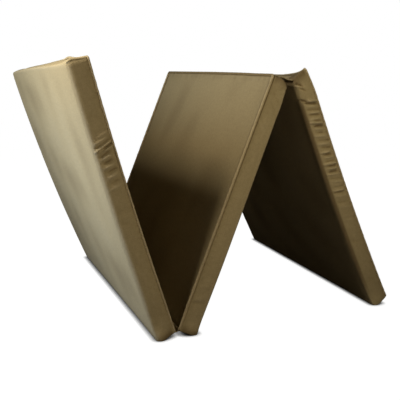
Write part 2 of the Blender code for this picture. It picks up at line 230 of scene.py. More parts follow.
def point_normals(points, faces):
    quads = np.array([f if len(f) == 4 else (*f, f[-1]) for f in faces])
    a, b, c, d = (points[quads[:, i]] for i in range(4))
    across = np.cross(c - a, d - b)
    normals = np.zeros_like(points)
    for corner in range(4):
        np.add.at(normals, quads[:, corner], across)
    return normals / np.maximum(np.linalg.norm(normals, axis=1, keepdims=True), 1e-12)


def travelled(line):
    """How far along a line each of its points is."""
    return np.concatenate([[0.0], np.cumsum(np.linalg.norm(np.diff(line, axis=0), axis=1))])


def tube(route, radii, sides, closed=True, up=(0.0, 0.0, 1.0)):
    """A tube along a route, each ring wide and high as radii says, with places for its weave."""
    route = np.array(route, float)
    count = len(route)
    following = np.roll(route, -1, axis=0) - np.roll(route, 1, axis=0)
    if not closed:
        following[0], following[-1] = route[1] - route[0], route[-1] - route[-2]
    following /= np.linalg.norm(following, axis=1, keepdims=True)
    across = np.cross(following, np.array(up))
    across /= np.linalg.norm(across, axis=1, keepdims=True)
    above = np.cross(across, following)
    turns = 2 * pi * np.arange(sides) / sides
    wide, high = radii
    rings = (
        route[:, None]
        + across[:, None] * (np.cos(turns)[None, :, None] * np.reshape(wide, (-1, 1, 1)))
        + above[:, None] * (np.sin(turns)[None, :, None] * np.reshape(high, (-1, 1, 1)))
    )
    gaps = np.linalg.norm(np.roll(route, -1, axis=0) - route, axis=1)
    along = np.concatenate([[0.0], np.cumsum(gaps)])
    girth = 2 * pi * float(np.mean(wide))
    faces, places = [], []
    for ring in range(count if closed else count - 1):
        after = (ring + 1) % count
        for side in range(sides):
            beside = (side + 1) % sides
            faces.append(
                (ring * sides + side, ring * sides + beside, after * sides + beside, after * sides + side)
            )
            for k, v in ((0, 0), (0, 1), (1, 1), (1, 0)):
                places.append((along[ring + k], girth * (side + v) / sides))
    if not closed:
        for ring, order in ((0, -1), (count - 1, 1)):
            cap = [ring * sides + side for side in range(sides)][::order]
            faces.append(tuple(cap))
            places += [(along[ring], 0.0)] * sides
    return rings.reshape(-1, 3), faces, places


# Materials


class Wire:
    """A socket of a node tree, so that shader maths is written as Python expressions."""

    def __init__(self, nodes, socket):
        self.nodes, self.socket = nodes, socket

    def maths(self, operation, *values):
        return self.nodes.node("ShaderNodeMath", {"operation": operation}, dict(enumerate(values)))

    def __add__(self, other):
        return self.maths("ADD", self, other)

    def __radd__(self, other):
        return self.maths("ADD", other, self)

    def __sub__(self, other):
        return self.maths("SUBTRACT", self, other)

    def __rsub__(self, other):
        return self.maths("SUBTRACT", other, self)

    def __mul__(self, other):
        return self.maths("MULTIPLY", self, other)

    def __rmul__(self, other):
        return self.maths("MULTIPLY", other, self)

    def __abs__(self):
        return self.maths("ABSOLUTE", self)

    def wave(self):
        return self.maths("SINE", self)

    def at_most(self, other):
        return self.maths("MINIMUM", self, other)

    def at_least(self, other):
        return self.maths("MAXIMUM", self, other)

    def beside(self, output):
        """Another output of the same node."""
        return Wire(self.nodes, self.socket.node.outputs[output])


class Nodes:
    """A node tree being made."""

    def __init__(self, tree):
        self.tree = tree

    def node(self, kind, settings=None, values=None, output=0):
        """Adds a node: its settings first, then the values or links of its sockets."""
        made = self.tree.nodes.new(kind)
        for key, value in (settings or {}).items():
            setattr(made, key, value)
        for key, value in (values or {}).items():
            self.feed(made.inputs[key], value)
        return Wire(self, made.outputs[output])

    def feed(self, socket, value):
        if isinstance(value, Wire):
            self.tree.links.new(value.socket, socket)
        else:
            socket.default_value = (*value, 1.0) if socket.type == "RGBA" else value

    def seen(self):
        """1 for rays from the camera and those seen in metal or through glass, or else 0."""
        path = self.node("ShaderNodeLightPath", None, None, "Is Camera Ray")
        return path.at_least(path.beside("Is Glossy Ray")).at_least(path.beside("Is Transmission Ray"))


class Finish(Nodes):
    """A material being made: one shader, and the nodes that feed it."""

    def __init__(self, name, roughness, metallic=0.0, sheen=0.0, specular=0.5):
        self.material = bpy.data.materials.new(name)
        self.material.use_nodes = True
        super().__init__(self.material.node_tree)
        self.shader = self.tree.nodes["Principled BSDF"]
        self.set(
            Roughness=roughness, Metallic=metallic, Sheen_Weight=sheen, Sheen_Roughness=0.5,
            Specular_IOR_Level=specular,
        )

    def set(self, **values):
        for key, value in values.items():
            self.feed(self.shader.inputs[key.replace("_", " ")], value)
        return self

    def mark(self, name):
        """A number kept on the mesh's points."""
        return self.node("ShaderNodeAttribute", {"attribute_name": name}, None, "Fac")

    def cloth_place(self):
        """Where on the flat cloth, in metres, across and along."""
        flat = self.node("ShaderNodeUVMap", {"uv_map": "cloth"})
        across = self.node("ShaderNodeSeparateXYZ", None, {0: flat}, "X")
        return across, across.beside("Y")

    def place(self, across, along, depth=0.0):
        return self.node("ShaderNodeCombineXYZ", None, {"X": across, "Y": along, "Z": depth})

    def noise(self, place, scale, detail=2.0, roughness=0.5):
        values = {"Vector": place, "Scale": scale, "Detail": detail, "Roughness": roughness}
        return self.node("ShaderNodeTexNoise", None, values, "Fac")

    def blend(self, share, first, second):
        """A colour that goes from the first to the second by a share."""
        settings = {"data_type": "RGBA", "clamp_factor": True}
        return self.node("ShaderNodeMix", settings, {0: share, 6: first, 7: second}, 2)

    def grey(self, share):
        return self.node("ShaderNodeCombineColor", None, {0: share, 1: share, 2: share})

    def lit(self, colour, amount):
        """A colour made lighter or darker by a factor."""
        settings = {"data_type": "RGBA", "blend_type": "MULTIPLY"}
        return self.node("ShaderNodeMix", settings, {0: 1.0, 6: colour, 7: self.grey(amount)}, 2)

    def bump(self, height, distance, strength=1.0, under=None):
        values = {"Height": height, "Distance": distance, "Strength": strength}
        if under:
            values["Normal"] = under
        return self.node("ShaderNodeBump", None, values)


def shared(values):
    """One value from 0 to 1 out of a noise that lies round its middle."""
    return ((values - 0.5) * 2.2 + 0.5).at_most(1.0).at_least(0.0)


def woven_cloth(name, ground, worn_and_highlight, painted_shade, thread, bias=False):
    """Plain-woven cotton: threads over and under, slubs, faded patches, rubbed edges with painted highlight
    on raised folds, painted shade in creases and seams.
    """
    finish = Finish(name, 0.88, sheen=0.06, specular=0.0)
    across, along = finish.cloth_place()
    if bias:
        across, along = (across + along) * DIAGONAL, (along - across) * DIAGONAL
    warp = (across * (pi / thread)).wave()
    weft = (along * (pi / thread)).wave()
    over = warp * weft
    weave = abs(warp) * (over * 0.5 + 0.5) + abs(weft) * (0.5 - over * 0.5)
    warp_slubs = finish.noise(finish.place(across * 900.0, along * 24.0), 1.0)
    weft_slubs = finish.noise(finish.place(across * 24.0, along * 900.0, 3.0), 1.0)
    patches = finish.noise(finish.place(across, along, 0.4), 7.0, 3.0, 0.6)
    specks = finish.noise(finish.place(across, along, 0.9), 130.0, 3.0, 0.65)
    threads = (warp_slubs + weft_slubs) * 0.5
    wear, crease = finish.mark("wear"), finish.mark("crease")
    fading = finish.noise(finish.place(across, along, 1.7), 420.0, 2.0, 0.6)
    base = finish.blend(shared(patches) * 0.55, ground, [c * 0.9 for c in ground])
    # Lighter where the cloth is rubbed, and painted highlight on raised folds and the near piping
    base = finish.blend((wear * (fading * 1.1 + 0.35)).at_most(1.0), base, worn_and_highlight)
    # Painted shade: darker in creases, along seams, on the end walls at the folds and on the foot's rounded
    # near edge
    base = finish.blend((crease * (fading * 0.6 + 0.6)).at_most(1.0), base, painted_shade)
    tone = (threads - 0.5) * 0.34 + (specks - 0.5) * 0.34 + (fading - 0.5) * 0.30 + weave * 0.10 + 0.94
    relief = weave * 0.6 + threads * 0.8
    return finish.set(
        Base_Color=finish.lit(base, tone),
        Roughness=(specks - 0.5) * 0.12 + (1.0 - weave) * 0.05 + 0.86 - wear * 0.08,
        Normal=finish.bump(relief, thread * 0.32, 0.8, finish.bump(specks, 0.0004, 0.6)),
    ).material


def foam(name, ground, yellowed):
    """Open-cell foam: fine round pores and a slightly yellowed skin."""
    finish = Finish(name, 0.95, specular=0.05)
    place = finish.node("ShaderNodeTexCoord", None, None, "Object")
    cells = finish.node(
        "ShaderNodeTexVoronoi", {"feature": "F1"}, {"Vector": place, "Scale": 900.0}, "Distance"
    )
    base = finish.blend(shared(finish.noise(place, 9.0, 3.0)) * 0.6, ground, yellowed)
    return finish.set(
        Base_Color=finish.lit(base, cells * 0.35 + 0.78),
        Roughness=0.98 - cells * 0.08,
        Normal=finish.bump(cells, 0.0005, 0.7),
    ).material


def zip_nylon(name, ground):
    """Zip tape and coils: a fine twill rib along the tape."""
    finish = Finish(name, 0.62, specular=0.35, sheen=0.1)
    across, along = finish.cloth_place()
    rib = ((across + along * 0.6) * (2 * pi / 0.0007)).wave()
    specks = finish.noise(finish.place(across, along), 300.0)
    # Lighter by the points' mark of rubbing and painted highlight
    base = finish.blend(finish.mark("wear") * 0.55, ground, [c * 1.9 for c in ground])
    return finish.set(
        Base_Color=finish.lit(base, rib * 0.07 + specks * 0.3 + 0.82),
        Roughness=specks * 0.2 + 0.5,
        Normal=finish.bump(rib, 0.00012, 0.7),
    ).material


def cast_metal(name, ground, tarnished):
    """Nickel-plated zip metal: handling scratches, tarnish in patches."""
    finish = Finish(name, 0.32, metallic=1.0)
    place = finish.node("ShaderNodeTexCoord", None, None, "Object")
    stretched = finish.node(
        "ShaderNodeMapping", None, {"Vector": place, "Scale": (300.0, 300.0, 2600.0)}
    )
    scratches = finish.noise(stretched, 1.0, 3.0, 0.7)
    tarnish = finish.noise(place, 240.0, 3.0)
    base = finish.blend(shared(tarnish) * 0.6, ground, tarnished)
    return finish.set(
        Base_Color=finish.lit(base, scratches * 0.3 + 0.82),
        Roughness=scratches * 0.3 + tarnish * 0.15 + 0.1,
        Normal=finish.bump(scratches, 0.00003, 0.5),
    ).material


MATERIALS = {
    # Each cloth: its colour, its rubbed colour that also gives painted highlight, its painted shade colour,
    # its thread pitch
    "cover_cloth": woven_cloth(
        "cover cloth", (0.40, 0.325, 0.19), (0.50, 0.43, 0.29), (0.13, 0.088, 0.042), 0.00075
    ),
    "edging_cloth": woven_cloth(
        "edging cloth", (0.37, 0.295, 0.165), (0.53, 0.45, 0.30), (0.20, 0.14, 0.065), 0.0006, True
    ),
    "core_foam": foam("core foam", (0.78, 0.72, 0.55), (0.70, 0.58, 0.36)),
    "zip_nylon": zip_nylon("zip nylon", (0.20, 0.155, 0.085)),
    "zip_metal": cast_metal("zip metal", (0.62, 0.61, 0.58), (0.40, 0.36, 0.29)),
}


# Panels


class Panel:
    """One panel's sizes, where it stands, and the folds in its cloth.

    hinge_ends and top_end are ends along X, each -1 or 1. down is 1 where X runs down the
    standing panel, and centre is the panel's middle from its fold's axis.
    """

    def __init__(self, name, length, fold, down, centre, hinge_ends, seeds, folds, corners, floor_corner):
        self.name, self.length, self.half = name, length, length / 2
        self.half_zip = self.half - ZIP_END_MARGIN
        self.foam_slab = name + "_foam_slab"
        self.top_end, self.hinge_ends = -down, hinge_ends
        self.side_seed, self.face_seed, self.piping_seed = seeds
        self.folds, self.corners, self.floor_corner = folds, corners, floor_corner
        along = Vector(JOINTS[name + "_zip_slide"]["axis"]).normalized() * down
        above = Vector(JOINTS[name + "_pull_hinge"]["axis"]).normalized() * down
        start = Vector(JOINTS[fold]["pos_m"])
        self.origin = np.array(start + along * centre[0] + above * centre[1])
        self.axes = np.array([along, (0.0, 1.0, 0.0), above])
        long, wide = (0.02, length - 0.02), (0.03, 2 * HALF_WIDTH - 0.03)
        self.small_folds = random_folds(14, long, 0.0007, -0.3)
        self.far_folds = random_folds(26, long, 0.0013, 0.4)
        self.end_folds = {side: random_folds(22, wide, 0.0016, 0.3) for side in (-1, 1)}

    def piece(self, name, mesh, slot, replaced=None, body="panel"):
        """One of the panel's pieces, on one of its bodies and standing for a node of the model."""
        nodes = [f"{self.name}_{replaced}"] if replaced else []
        return new_piece(f"{self.name}_{name}", mesh, slot, f"{self.name}_{body}", nodes)

    def measures(self, block):
        """How far points are from the top end, the other end and the near side, and how deep, 0 to 1."""
        x, y, z = block.T
        shift = self.top_end * x
        return self.half - shift, self.half + shift, y + HALF_WIDTH, unit(-z / THICKNESS)

    def dog_ears(self, moved, block):
        """The cover's corners: the panel's own, and the spare cloth of the near one on the floor."""
        down, up, from_side, depth = self.measures(block)
        self.corners(moved, block, down, up, from_side, depth)
        along, across, level, high, reach, out = self.floor_corner
        near = bell(up, along) * bell(from_side, across) * bell(depth - level, high)
        moved[:, 1] -= out * near
        moved[:, 0] += reach * near
        return moved

    def set_up(self, points):
        """From the flat panel to where it stands, for pieces that keep their form."""
        return np.asarray(points, float) @ self.axes + self.origin

    def stand(self, points, wall=None):
        """As set_up, with the panel's twist and bow and its weight on the floor.

        wall is how far each point is cloth of the far side, which stays straight round its zip.
        """
        points = np.array(points, float)
        x, y, z = points.T
        held = np.ones(len(points))
        if wall is not None:
            beside = np.maximum(ZIP_LEVEL - ZIP_HALF_HEIGHT - z, z - ZIP_LEVEL - ZIP_HALF_HEIGHT)
            free = unit(beside / 0.004)
            held = 1.0 - wall * (1.0 - free)
        reach = np.clip((self.half - self.hinge_ends[0] * x) / self.length, 0.0, 1.02)
        far = unit((y / HALF_WIDTH + 1.0) / 2.0)
        arch = 4.0 * reach * (1.0 - reach)
        shift = np.zeros(len(points))
        if self.name == "head":
            depth = unit(-z / THICKNESS)
            far_twist = HEAD_TWIST_FAR_TOP + (HEAD_TWIST_FAR_BASE - HEAD_TWIST_FAR_TOP) * depth
            far_bow = FAR_BOW_SHARE + (HEAD_FAR_BASE_BOW - FAR_BOW_SHARE) * depth
            lean = reach * (HEAD_TWIST_NEAR * (1 - far) + far_twist * far)
            points[:, 2] += held * (lean - HEAD_BOW * arch * (1 - far + far_bow * far))
        if self.name == "foot":
            shift = held * reach * (FOOT_TWIST_NEAR * (1 - far) + FOOT_TWIST_FAR * far)
            points[:, 2] -= held * FOOT_BOW * arch * (1 - (1 - FAR_BOW_SHARE) * far)
        placed = self.set_up(points)
        placed[:, 0] += shift
        placed[:, 2] = np.maximum(placed[:, 2], 0.0)
        return placed

    def swollen(self, points):
        """Where points of the plain block go when the cover is sewn and stuffed."""
        x, y, z = points.T
        along = unit(1.0 - (x / self.half) ** 2)
        across = unit(1.0 - (y / HALF_WIDTH) ** 2)
        side = (z + THICKNESS / 2) / (THICKNESS / 2)
        moved = points.copy()
        moved[:, 2] += FACE_CROWN * along * across * side
        if self.name == "head":
            moved[:, 0] += np.where(x < 0.0, -FREE_END_DRAW * across * x / self.half, 0.0)
        moved[:, 1] -= np.where(y < 0.0, NEAR_SIDE_DRAW * along * y / HALF_WIDTH, 0.0)
        return moved

    def near_floor_corner(self, x, y):
        """How near a place is to the corner that stands on the floor at the near side."""
        return bell(self.half + self.top_end * x, 0.07) * bell(y + HALF_WIDTH, 0.09)

    def corner_radius(self, x, y):
        """How round the panel's corners are from above: the head's far free corner droops round."""
        plain = np.full(len(x), 0.006)
        if self.name == "head":
            plain[(x < 0) & (y > 0)] = 0.024
        return plain - 0.0038 * self.near_floor_corner(x, y)

    def edge_radius(self, x, y):
        """How round the edges under the panel are."""
        plain = 0.006 if self.name == "middle" else EDGE_RADIUS
        if self.name == "head":
            plain = EDGE_RADIUS + 0.0015 * bell(y + HALF_WIDTH, 0.06)
        return plain - (plain - 0.0028) * self.near_floor_corner(x, y)

    def end_radius(self, x, y):
        """As edge_radius, at the two ends: the head's free end is sharp away from its near corner."""
        radius = self.edge_radius(x, y)
        if self.name == "head":
            radius = np.where(x < 0, 0.0035 + (radius - 0.0035) * bell(y + HALF_WIDTH, 0.04), radius)
        return radius


def graded(half, fine_band):
    """Cuts across a panel: close at the edges, wider in the middle."""
    cuts = [-half + step for step in EDGE_STEPS]
    while cuts[-1] < -half + fine_band:
        cuts.append(cuts[-1] + FINE_CELL)
    cell = FINE_CELL
    while cuts[-1] < -cell:
        cell = min(cell * 1.25, COARSE_CELL)
        cuts.append(cuts[-1] + cell)
    cuts = np.array(cuts)
    cuts = np.concatenate([cuts[:-1] if cuts[-1] > -cell / 2 else cuts, [0.0]])
    return np.concatenate([cuts, -cuts[-2::-1]])


def evenly(half, cell, marks=()):
    """Cuts along a panel, as far apart as cell and closer at the edges; the marks are among them."""
    inner = np.linspace(-half + EDGE_STEPS[-1], half - EDGE_STEPS[-1], round(2 * half / cell))
    edge = np.array(EDGE_STEPS[:-1])
    cuts = np.concatenate([-half + edge, inner, (half - edge)[::-1]])
    for mark in marks:
        cuts[np.argmin(np.abs(cuts - mark))] = mark
    return cuts


def squared_to_round(first, second, radius):
    """Turns the square corner of two depths into an edge into a round one."""
    inside = (first < radius) & (second < radius)
    into_first, into_second = radius - first, radius - second
    far = np.maximum(into_first, into_second)
    share = np.where(inside, far / np.maximum(np.hypot(into_first, into_second), 1e-9), 1.0)
    return (
        np.where(inside, radius - into_first * share, first),
        np.where(inside, radius - into_second * share, second),
    )


def rounded(panel, points):
    """The block's edges under it and its corners, rounded."""
    x, y, z = points.T
    low = z + THICKNESS
    from_end, from_side = panel.half - np.abs(x), HALF_WIDTH - np.abs(y)
    from_end, low_a = squared_to_round(from_end, low, panel.end_radius(x, y))
    from_side, low_b = squared_to_round(from_side, low, panel.edge_radius(x, y))
    low = np.maximum(low_a, low_b)
    from_end, from_side = squared_to_round(from_end, from_side, panel.corner_radius(x, y))
    return np.stack(
        [np.sign(x) * (panel.half - from_end), np.sign(y) * (HALF_WIDTH - from_side), low - THICKNESS], 1
    )


def cover_grid(panel):
    """The base cover's cloth as quads on a block open at the top, with the flat place of each corner."""
    xs = evenly(panel.half, FINE_CELL * 0.75, (-panel.half_zip, panel.half_zip))
    if panel.name in FOLDED_BANDS:
        first, last = FOLDED_BANDS[panel.name]
        band = xs[(xs > first - panel.half) & (xs < last - panel.half)]
        xs = np.sort(np.concatenate([xs, (band[:-1] + band[1:]) / 2]))
    ys = graded(HALF_WIDTH, FINE_BAND)
    slot_low, slot_high = ZIP_LEVEL - ZIP_HALF_HEIGHT, ZIP_LEVEL + ZIP_HALF_HEIGHT
    levels = [-THICKNESS + step for step in EDGE_STEPS] + list(np.linspace(slot_low, slot_high, 8))
    levels += [slot_high + (-SEAM_DEPTH - slot_high) * k / 4 for k in range(1, 5)]
    rows = [(z, 0.0) for z in levels] + [(-SEAM_DEPTH + rise, inset) for rise, inset in HEM]
    climb = [z + inset + THICKNESS for z, inset in rows]
    index, points, faces, places = {}, [], [], []

    def point(i, j, k):
        if (i, j, k) not in index:
            z, inset = rows[k]
            index[i, j, k] = len(points)
            x = min(max(xs[i], -panel.half + inset), panel.half - inset)
            y = min(max(ys[j], -HALF_WIDTH + inset), HALF_WIDTH - inset)
            points.append((x, y, z))
        return index[i, j, k]

    def quad(corners, out):
        faces.append(tuple(point(*corner) for corner in corners))
        places.extend((xs[i] + out[0] * climb[k], ys[j] + out[1] * climb[k]) for i, j, k in corners)

    def upright(start, end, k, out):
        quad(((*start, k), (*end, k), (*end, k + 1), (*start, k + 1)), out)

    last_x, last_y = len(xs) - 1, len(ys) - 1
    for i in range(last_x):
        for j in range(last_y):
            quad(((i, j, 0), (i, j + 1, 0), (i + 1, j + 1, 0), (i + 1, j, 0)), (0, 0))
    for k in range(len(rows) - 1):
        beside_zip = slot_low - 1e-6 < rows[k][0] and rows[k + 1][0] < slot_high + 1e-6
        for i in range(last_x):
            upright((i, 0), (i + 1, 0), k, (0, -1))
            along_zip = -panel.half_zip - 1e-6 < xs[i] and xs[i + 1] < panel.half_zip + 1e-6
            if not (beside_zip and along_zip):
                upright((i + 1, last_y), (i, last_y), k, (0, 1))
        for j in range(last_y):
            upright((0, j + 1), (0, j), k, (-1, 0))
            upright((last_x, j), (last_x, j + 1), k, (1, 0))
    return np.array(points), faces, places


# Folds in the near side's cloth. Each is how far down from the panel's top end it starts
# at the piping, how much further down it is per metre towards the base, its half width,
# its height (a crease is below zero), and where it starts and ends below the piping.
HEAD_FOLDS = [
    (0.1580, 0.25, 0.0038, 0.0012, 0.004, 0.026),
    (0.1660, 0.28, 0.0031, 0.0018, 0.008, 0.036),
    (0.1725, 0.31, 0.0020, -0.0026, 0.004, 0.038),
    (0.1785, 0.34, 0.0022, 0.0032, 0.002, 0.040),
    (0.1840, 0.23, 0.0019, -0.0051, 0.000, 0.024),
    (0.1890, 0.27, 0.0024, 0.0040, 0.000, 0.022),
    (0.1950, 0.31, 0.0022, -0.0035, 0.008, 0.034),
    (0.2040, 0.25, 0.0036, 0.0030, 0.006, 0.030),
    (0.2140, 0.23, 0.0027, -0.0033, 0.010, 0.032),
    (0.2250, 0.22, 0.0039, 0.0025, 0.006, 0.030),
    (0.2360, 0.17, 0.0029, -0.0030, 0.006, 0.028),
    (0.2480, 0.20, 0.0043, 0.0022, 0.006, 0.030),
    (0.2610, 0.16, 0.0031, -0.0022, 0.008, 0.028),
    (0.2740, 0.16, 0.0043, 0.0017, 0.006, 0.030),
]
FOOT_FOLDS = [
    (0.0459, -0.81, 0.0024, -0.0085, 0.024, 0.043),
    (0.0409, -0.55, 0.0024, 0.0042, 0.024, 0.044),
    (0.0530, -0.79, 0.0020, -0.0050, 0.021, 0.034),
    (0.0771, -0.62, 0.0022, -0.0080, 0.026, 0.044),
    (0.0690, -0.39, 0.0034, 0.0048, 0.000, 0.026),
    (0.0773, -0.44, 0.0021, -0.0075, 0.004, 0.034),
]
# The smaller folds further down: where each starts, and its height
FOOT_RIPPLES = [
    (0.0835, 0.0012), (0.0925, -0.0016), (0.0990, 0.0024), (0.1060, -0.0022), (0.1150, 0.0014),
    (0.1215, -0.0026), (0.1275, 0.0038), (0.1345, -0.0036), (0.1440, 0.0018), (0.1530, -0.0020),
    (0.1620, 0.0018), (0.1730, -0.0014), (0.1830, 0.0018), (0.1940, -0.0020), (0.2040, 0.0030),
    (0.2120, -0.0028), (0.2200, 0.0020), (0.2290, -0.0020), (0.2360, 0.0026), (0.2430, -0.0028),
    (0.2505, 0.0028), (0.2580, -0.0028), (0.2670, 0.0016), (0.2790, -0.0010), (0.2890, 0.0012),
    (0.3010, -0.0012), (0.3110, 0.0020), (0.3185, -0.0019), (0.3300, 0.0009), (0.3450, -0.0009),
    (0.3610, 0.0007), (0.3910, -0.0008),
]
RIPPLE_SHARE = 1.45
for start, rise in FOOT_RIPPLES:
    FOOT_FOLDS.append((
        start, RANDOM.uniform(-0.44, -0.28), RANDOM.uniform(0.0022, 0.0034), RIPPLE_SHARE * rise,
        RANDOM.uniform(-0.002, 0.010), RANDOM.uniform(0.026, 0.038),
    ))
MIDDLE_FOLDS = [
    (0.030, 0.9, 0.0045, -0.0012, 0.010, 0.040),
    (0.052, 1.0, 0.0070, -0.0010, 0.016, 0.046),
    (0.118, 0.6, 0.0060, 0.0006, 0.006, 0.040),
    (0.560, -0.5, 0.0060, 0.0007, 0.006, 0.040),
]


def folds_at(folds, down, depth):
    """The height of the folds at places that far down from the top and below the piping."""
    height = np.zeros(len(down))
    for start, slope, width, rise, first, last in folds:
        window = smooth_step(depth, first - 0.004, first + 0.006) * (
            1.0 - smooth_step(depth, last - 0.008, last + 0.005)
        )
        off = down - start - slope * depth
        if rise < 0:
            height += rise * window * np.exp(-((np.abs(off) / width) ** 1.3))
        else:
            height += rise * window * bell(off, width)
    return height


def random_folds(count, band, size, slope):
    """Small folds at random places along a side."""
    made = []
    for start in RANDOM.uniform(*band, count):
        rise = size * RANDOM.uniform(0.35, 1.0) * (1 if RANDOM.random() < 0.55 else -1)
        low = RANDOM.uniform(0.0, 0.02)
        made.append((
            start, slope + RANDOM.normal(0.0, 0.25), RANDOM.uniform(0.004, 0.008), rise, low,
            low + RANDOM.uniform(0.014, 0.034),
        ))
    return made


def waves(x, y, seed, longest, count=6):
    """Slow unevenness of a face, from a few long waves; from -1 to 1."""
    chance = np.random.default_rng(seed)
    total = np.zeros(len(x))
    for _ in range(count):
        length = longest * chance.uniform(0.4, 1.0)
        turn = chance.uniform(0.0, pi)
        phase = chance.uniform(0.0, 2 * pi)
        total += np.sin(2 * pi * (x * cos(turn) + y * sin(turn)) / length + phase)
    return total / count * 1.4


def gathers(along, seed, pitch=0.014):
    """Cloth drawn up along a seam: uneven small puffs, from -1 to 1."""
    chance = np.random.default_rng(seed)
    total = np.zeros(len(along))
    for share in (1.0, 0.61, 1.43):
        phase = chance.uniform(0.0, 2 * pi)
        drift = 0.9 * np.sin(2 * pi * along / (pitch * 9 * share) + phase)
        total += np.sin(2 * pi * along / (pitch * share) + drift * 2.0 + phase) / 2.2
    return total


def wrinkled(panel, block, points, faces):
    """The base cover's points moved out and in by its folds, how much painted shade each gets, and how much
    it is rubbed lighter with painted highlight.
    """
    x, y, z = block.T
    down, _, from_near, _ = panel.measures(block)
    from_far = HALF_WIDTH - y
    normals = point_normals(points, faces)
    depth = np.clip(-SEAM_DEPTH - z, 0.0, WALL)
    near, far = bell(from_near, NEAR_FOLDS_REACH), bell(from_far, FAR_FOLDS_REACH)
    ends = {side: bell(panel.half - side * x, END_FOLDS_REACH) for side in (-1, 1)}
    seed = panel.side_seed
    height = near * (folds_at(panel.folds, down, depth) + folds_at(panel.small_folds, down, depth))
    at_zip = (np.abs(z - ZIP_LEVEL) < ZIP_HALF_HEIGHT + 0.002) & (np.abs(x) < panel.half_zip + 0.01)
    height += far * folds_at(panel.far_folds, down, depth) * np.where(at_zip, 0.0, 1.0)
    loose = sum(share * (0.1 if side in panel.hinge_ends else 1.0) for side, share in ends.items())
    for side, share in ends.items():
        if side not in panel.hinge_ends:
            height += share * folds_at(panel.end_folds[side], from_near, depth) * (1.0 - near)
    rim = 0.00035 * bell(depth - 0.0035, 0.006)
    height += rim * near * gathers(x, seed) + rim * loose * gathers(y, seed + 1)
    bulge = depth / WALL
    height += (near * 0.0012 + loose * (1.0 - near) * 0.0018) * 4.0 * bulge * (1.0 - bulge)
    slot = np.maximum(np.abs(z - ZIP_LEVEL) - ZIP_HALF_HEIGHT, np.abs(x) - panel.half_zip)
    height += 0.0007 * bell(slot - 0.003, 0.0022) * (y > HALF_WIDTH - 1e-6)
    within = np.minimum(HALF_WIDTH - np.abs(y), panel.half - np.abs(x))
    base = (z < -THICKNESS + 1e-6) * unit(within / 0.05)
    height += base * 0.0009 * waves(x, y, seed + 2, 0.30)
    # Painted shade in the folds' creases and along the seams, weaker along the near seam except high on the
    # middle panel
    seam = bell(depth, 0.0016) * (near + far + ends[-1] + ends[1] > 0.5)
    sunk = 0.1 + 0.75 * bell(down, 0.28) if panel.name == "middle" else 0.2
    crease = 0.75 * unit(-height / 0.0022) + (0.75 + (sunk - 0.75) * near) * seam
    crease = unit(crease)
    # Painted shade along the foot's rounded near edge underneath, away from its top and its corner on the
    # floor
    if panel.name == "foot":
        turned = 0.8 * smooth_step(depth, 0.0345, 0.040) * bell(from_near, 0.022)
        turned *= smooth_step(down, 0.035, 0.075)
        crease = np.maximum(crease, turned * (1.0 - panel.near_floor_corner(x, y)))
    # Painted shade on the end walls at the folds, between the panels
    folded_in = unit(sum(ends[side] for side in panel.hinge_ends))
    crease = np.maximum(crease, 0.85 * folded_in * smooth_step(depth, 0.001, 0.006))
    out = np.minimum(np.minimum(from_near, from_far), panel.half - np.abs(x))
    # Lighter at the rubbed edges underneath, and painted highlight on the raised folds
    edge = bell(z + THICKNESS - 0.003, 0.007) * bell(out, 0.006)
    wear = unit(0.3 * edge + 0.55 * unit(height / 0.003))
    return panel.dog_ears(points + normals * height[:, None], block), crease, wear


def head_corners(moved, block, down, up, from_side, depth):
    """The head's free end: its cloth puffs up past the seam near the side and droops at the far corner."""
    y, z = block[:, 1], block[:, 2]
    puff = bell(from_side - 0.010, 0.030) * bell(down, 0.010) * smooth_step(depth, 0.15, 0.78)
    moved[:, 0] -= 0.0048 * puff
    groove = bell(down - 0.0036, 0.0020) * bell(from_side, 0.004) * smooth_step(depth, 0.03, 0.15)
    moved[:, 1] += 0.0020 * groove
    droop = (1.0 - depth) * np.interp(y, *HEAD_DROOP_TOP) + depth * np.interp(y, *HEAD_DROOP_BASE)
    moved[:, 0] += droop * bell(down, 0.05)
    lens = bell(y + 0.205, 0.045) * bell(down, 0.010) * smooth_step(z, -0.0030, -0.0008)
    moved[:, 0] -= 0.0052 * lens
    moved[:, 2] -= 0.0012 * lens


def middle_corners(moved, block, down, up, from_side, depth):
    """The middle panel's near corner at the ridge: an empty corner of cover, folded down round."""
    y, low = block[:, 1], block[:, 2] + THICKNESS
    deep = -block[:, 2]
    near = bell(from_side, 0.070)
    moved[:, 0] -= np.interp(deep, *LOBE_DROOP) * near * unit(1.0 - down / 0.036) ** 2
    waist = 0.0045 * bell(down, 0.018) + 0.0015 * bell(down - 0.024, 0.0065)
    waist += 0.0020 * bell(down - 0.038, 0.012)
    moved[:, 2] += waist * near * smooth_step(deep, 0.030, THICKNESS - 0.004)
    moved[:, 1] -= 0.0046 * bell(down - 0.006, 0.013) * bell(from_side, 0.010) * bell(low - 0.018, 0.014)
    under = bell(down - 0.0215 - 0.5 * low, 0.0026) * bell(from_side, 0.006)
    moved[:, 1] += 0.0022 * under * smooth_step(0.030 - low, 0.0, 0.015)
    moved[:, 0] -= np.interp(y, *MIDDLE_DROOP) * bell(down, 0.04) * (1.0 - depth)
    moved[:, 2] -= 0.0032 * bell(block[:, 0] + 0.10, 0.20) * np.exp(-from_side / 0.12) * depth
    moved[:, 2] += 0.0018 * bell(up, 0.07) * bell(from_side, 0.10) * depth


def foot_corners(moved, block, down, up, from_side, depth):
    """The foot panel's near corner at the ridge stands up as a pointed ear."""
    moved[:, 0] += np.interp(block[:, 1], *FOOT_DROOP) * bell(down, 0.04) * (1.0 - 0.6 * depth)
    ear = np.exp(-((from_side / 0.038) ** 1.2)) * bell(down, 0.030)
    moved[:, 0] -= 0.0156 * ear * (1.0 - 0.75 * depth)
    moved[:, 2] -= 0.0064 * ear * (1.0 - depth)
    pillow = bell(down - 0.035, 0.012) * bell(-block[:, 2] - 0.026, 0.012) * bell(from_side, 0.010)
    moved[:, 1] -= 0.0028 * pillow
    moved[:, 0] += 0.0030 * bell(down, 0.012) * bell(from_side, 0.05) * smooth_step(depth, 0.75, 1.0)


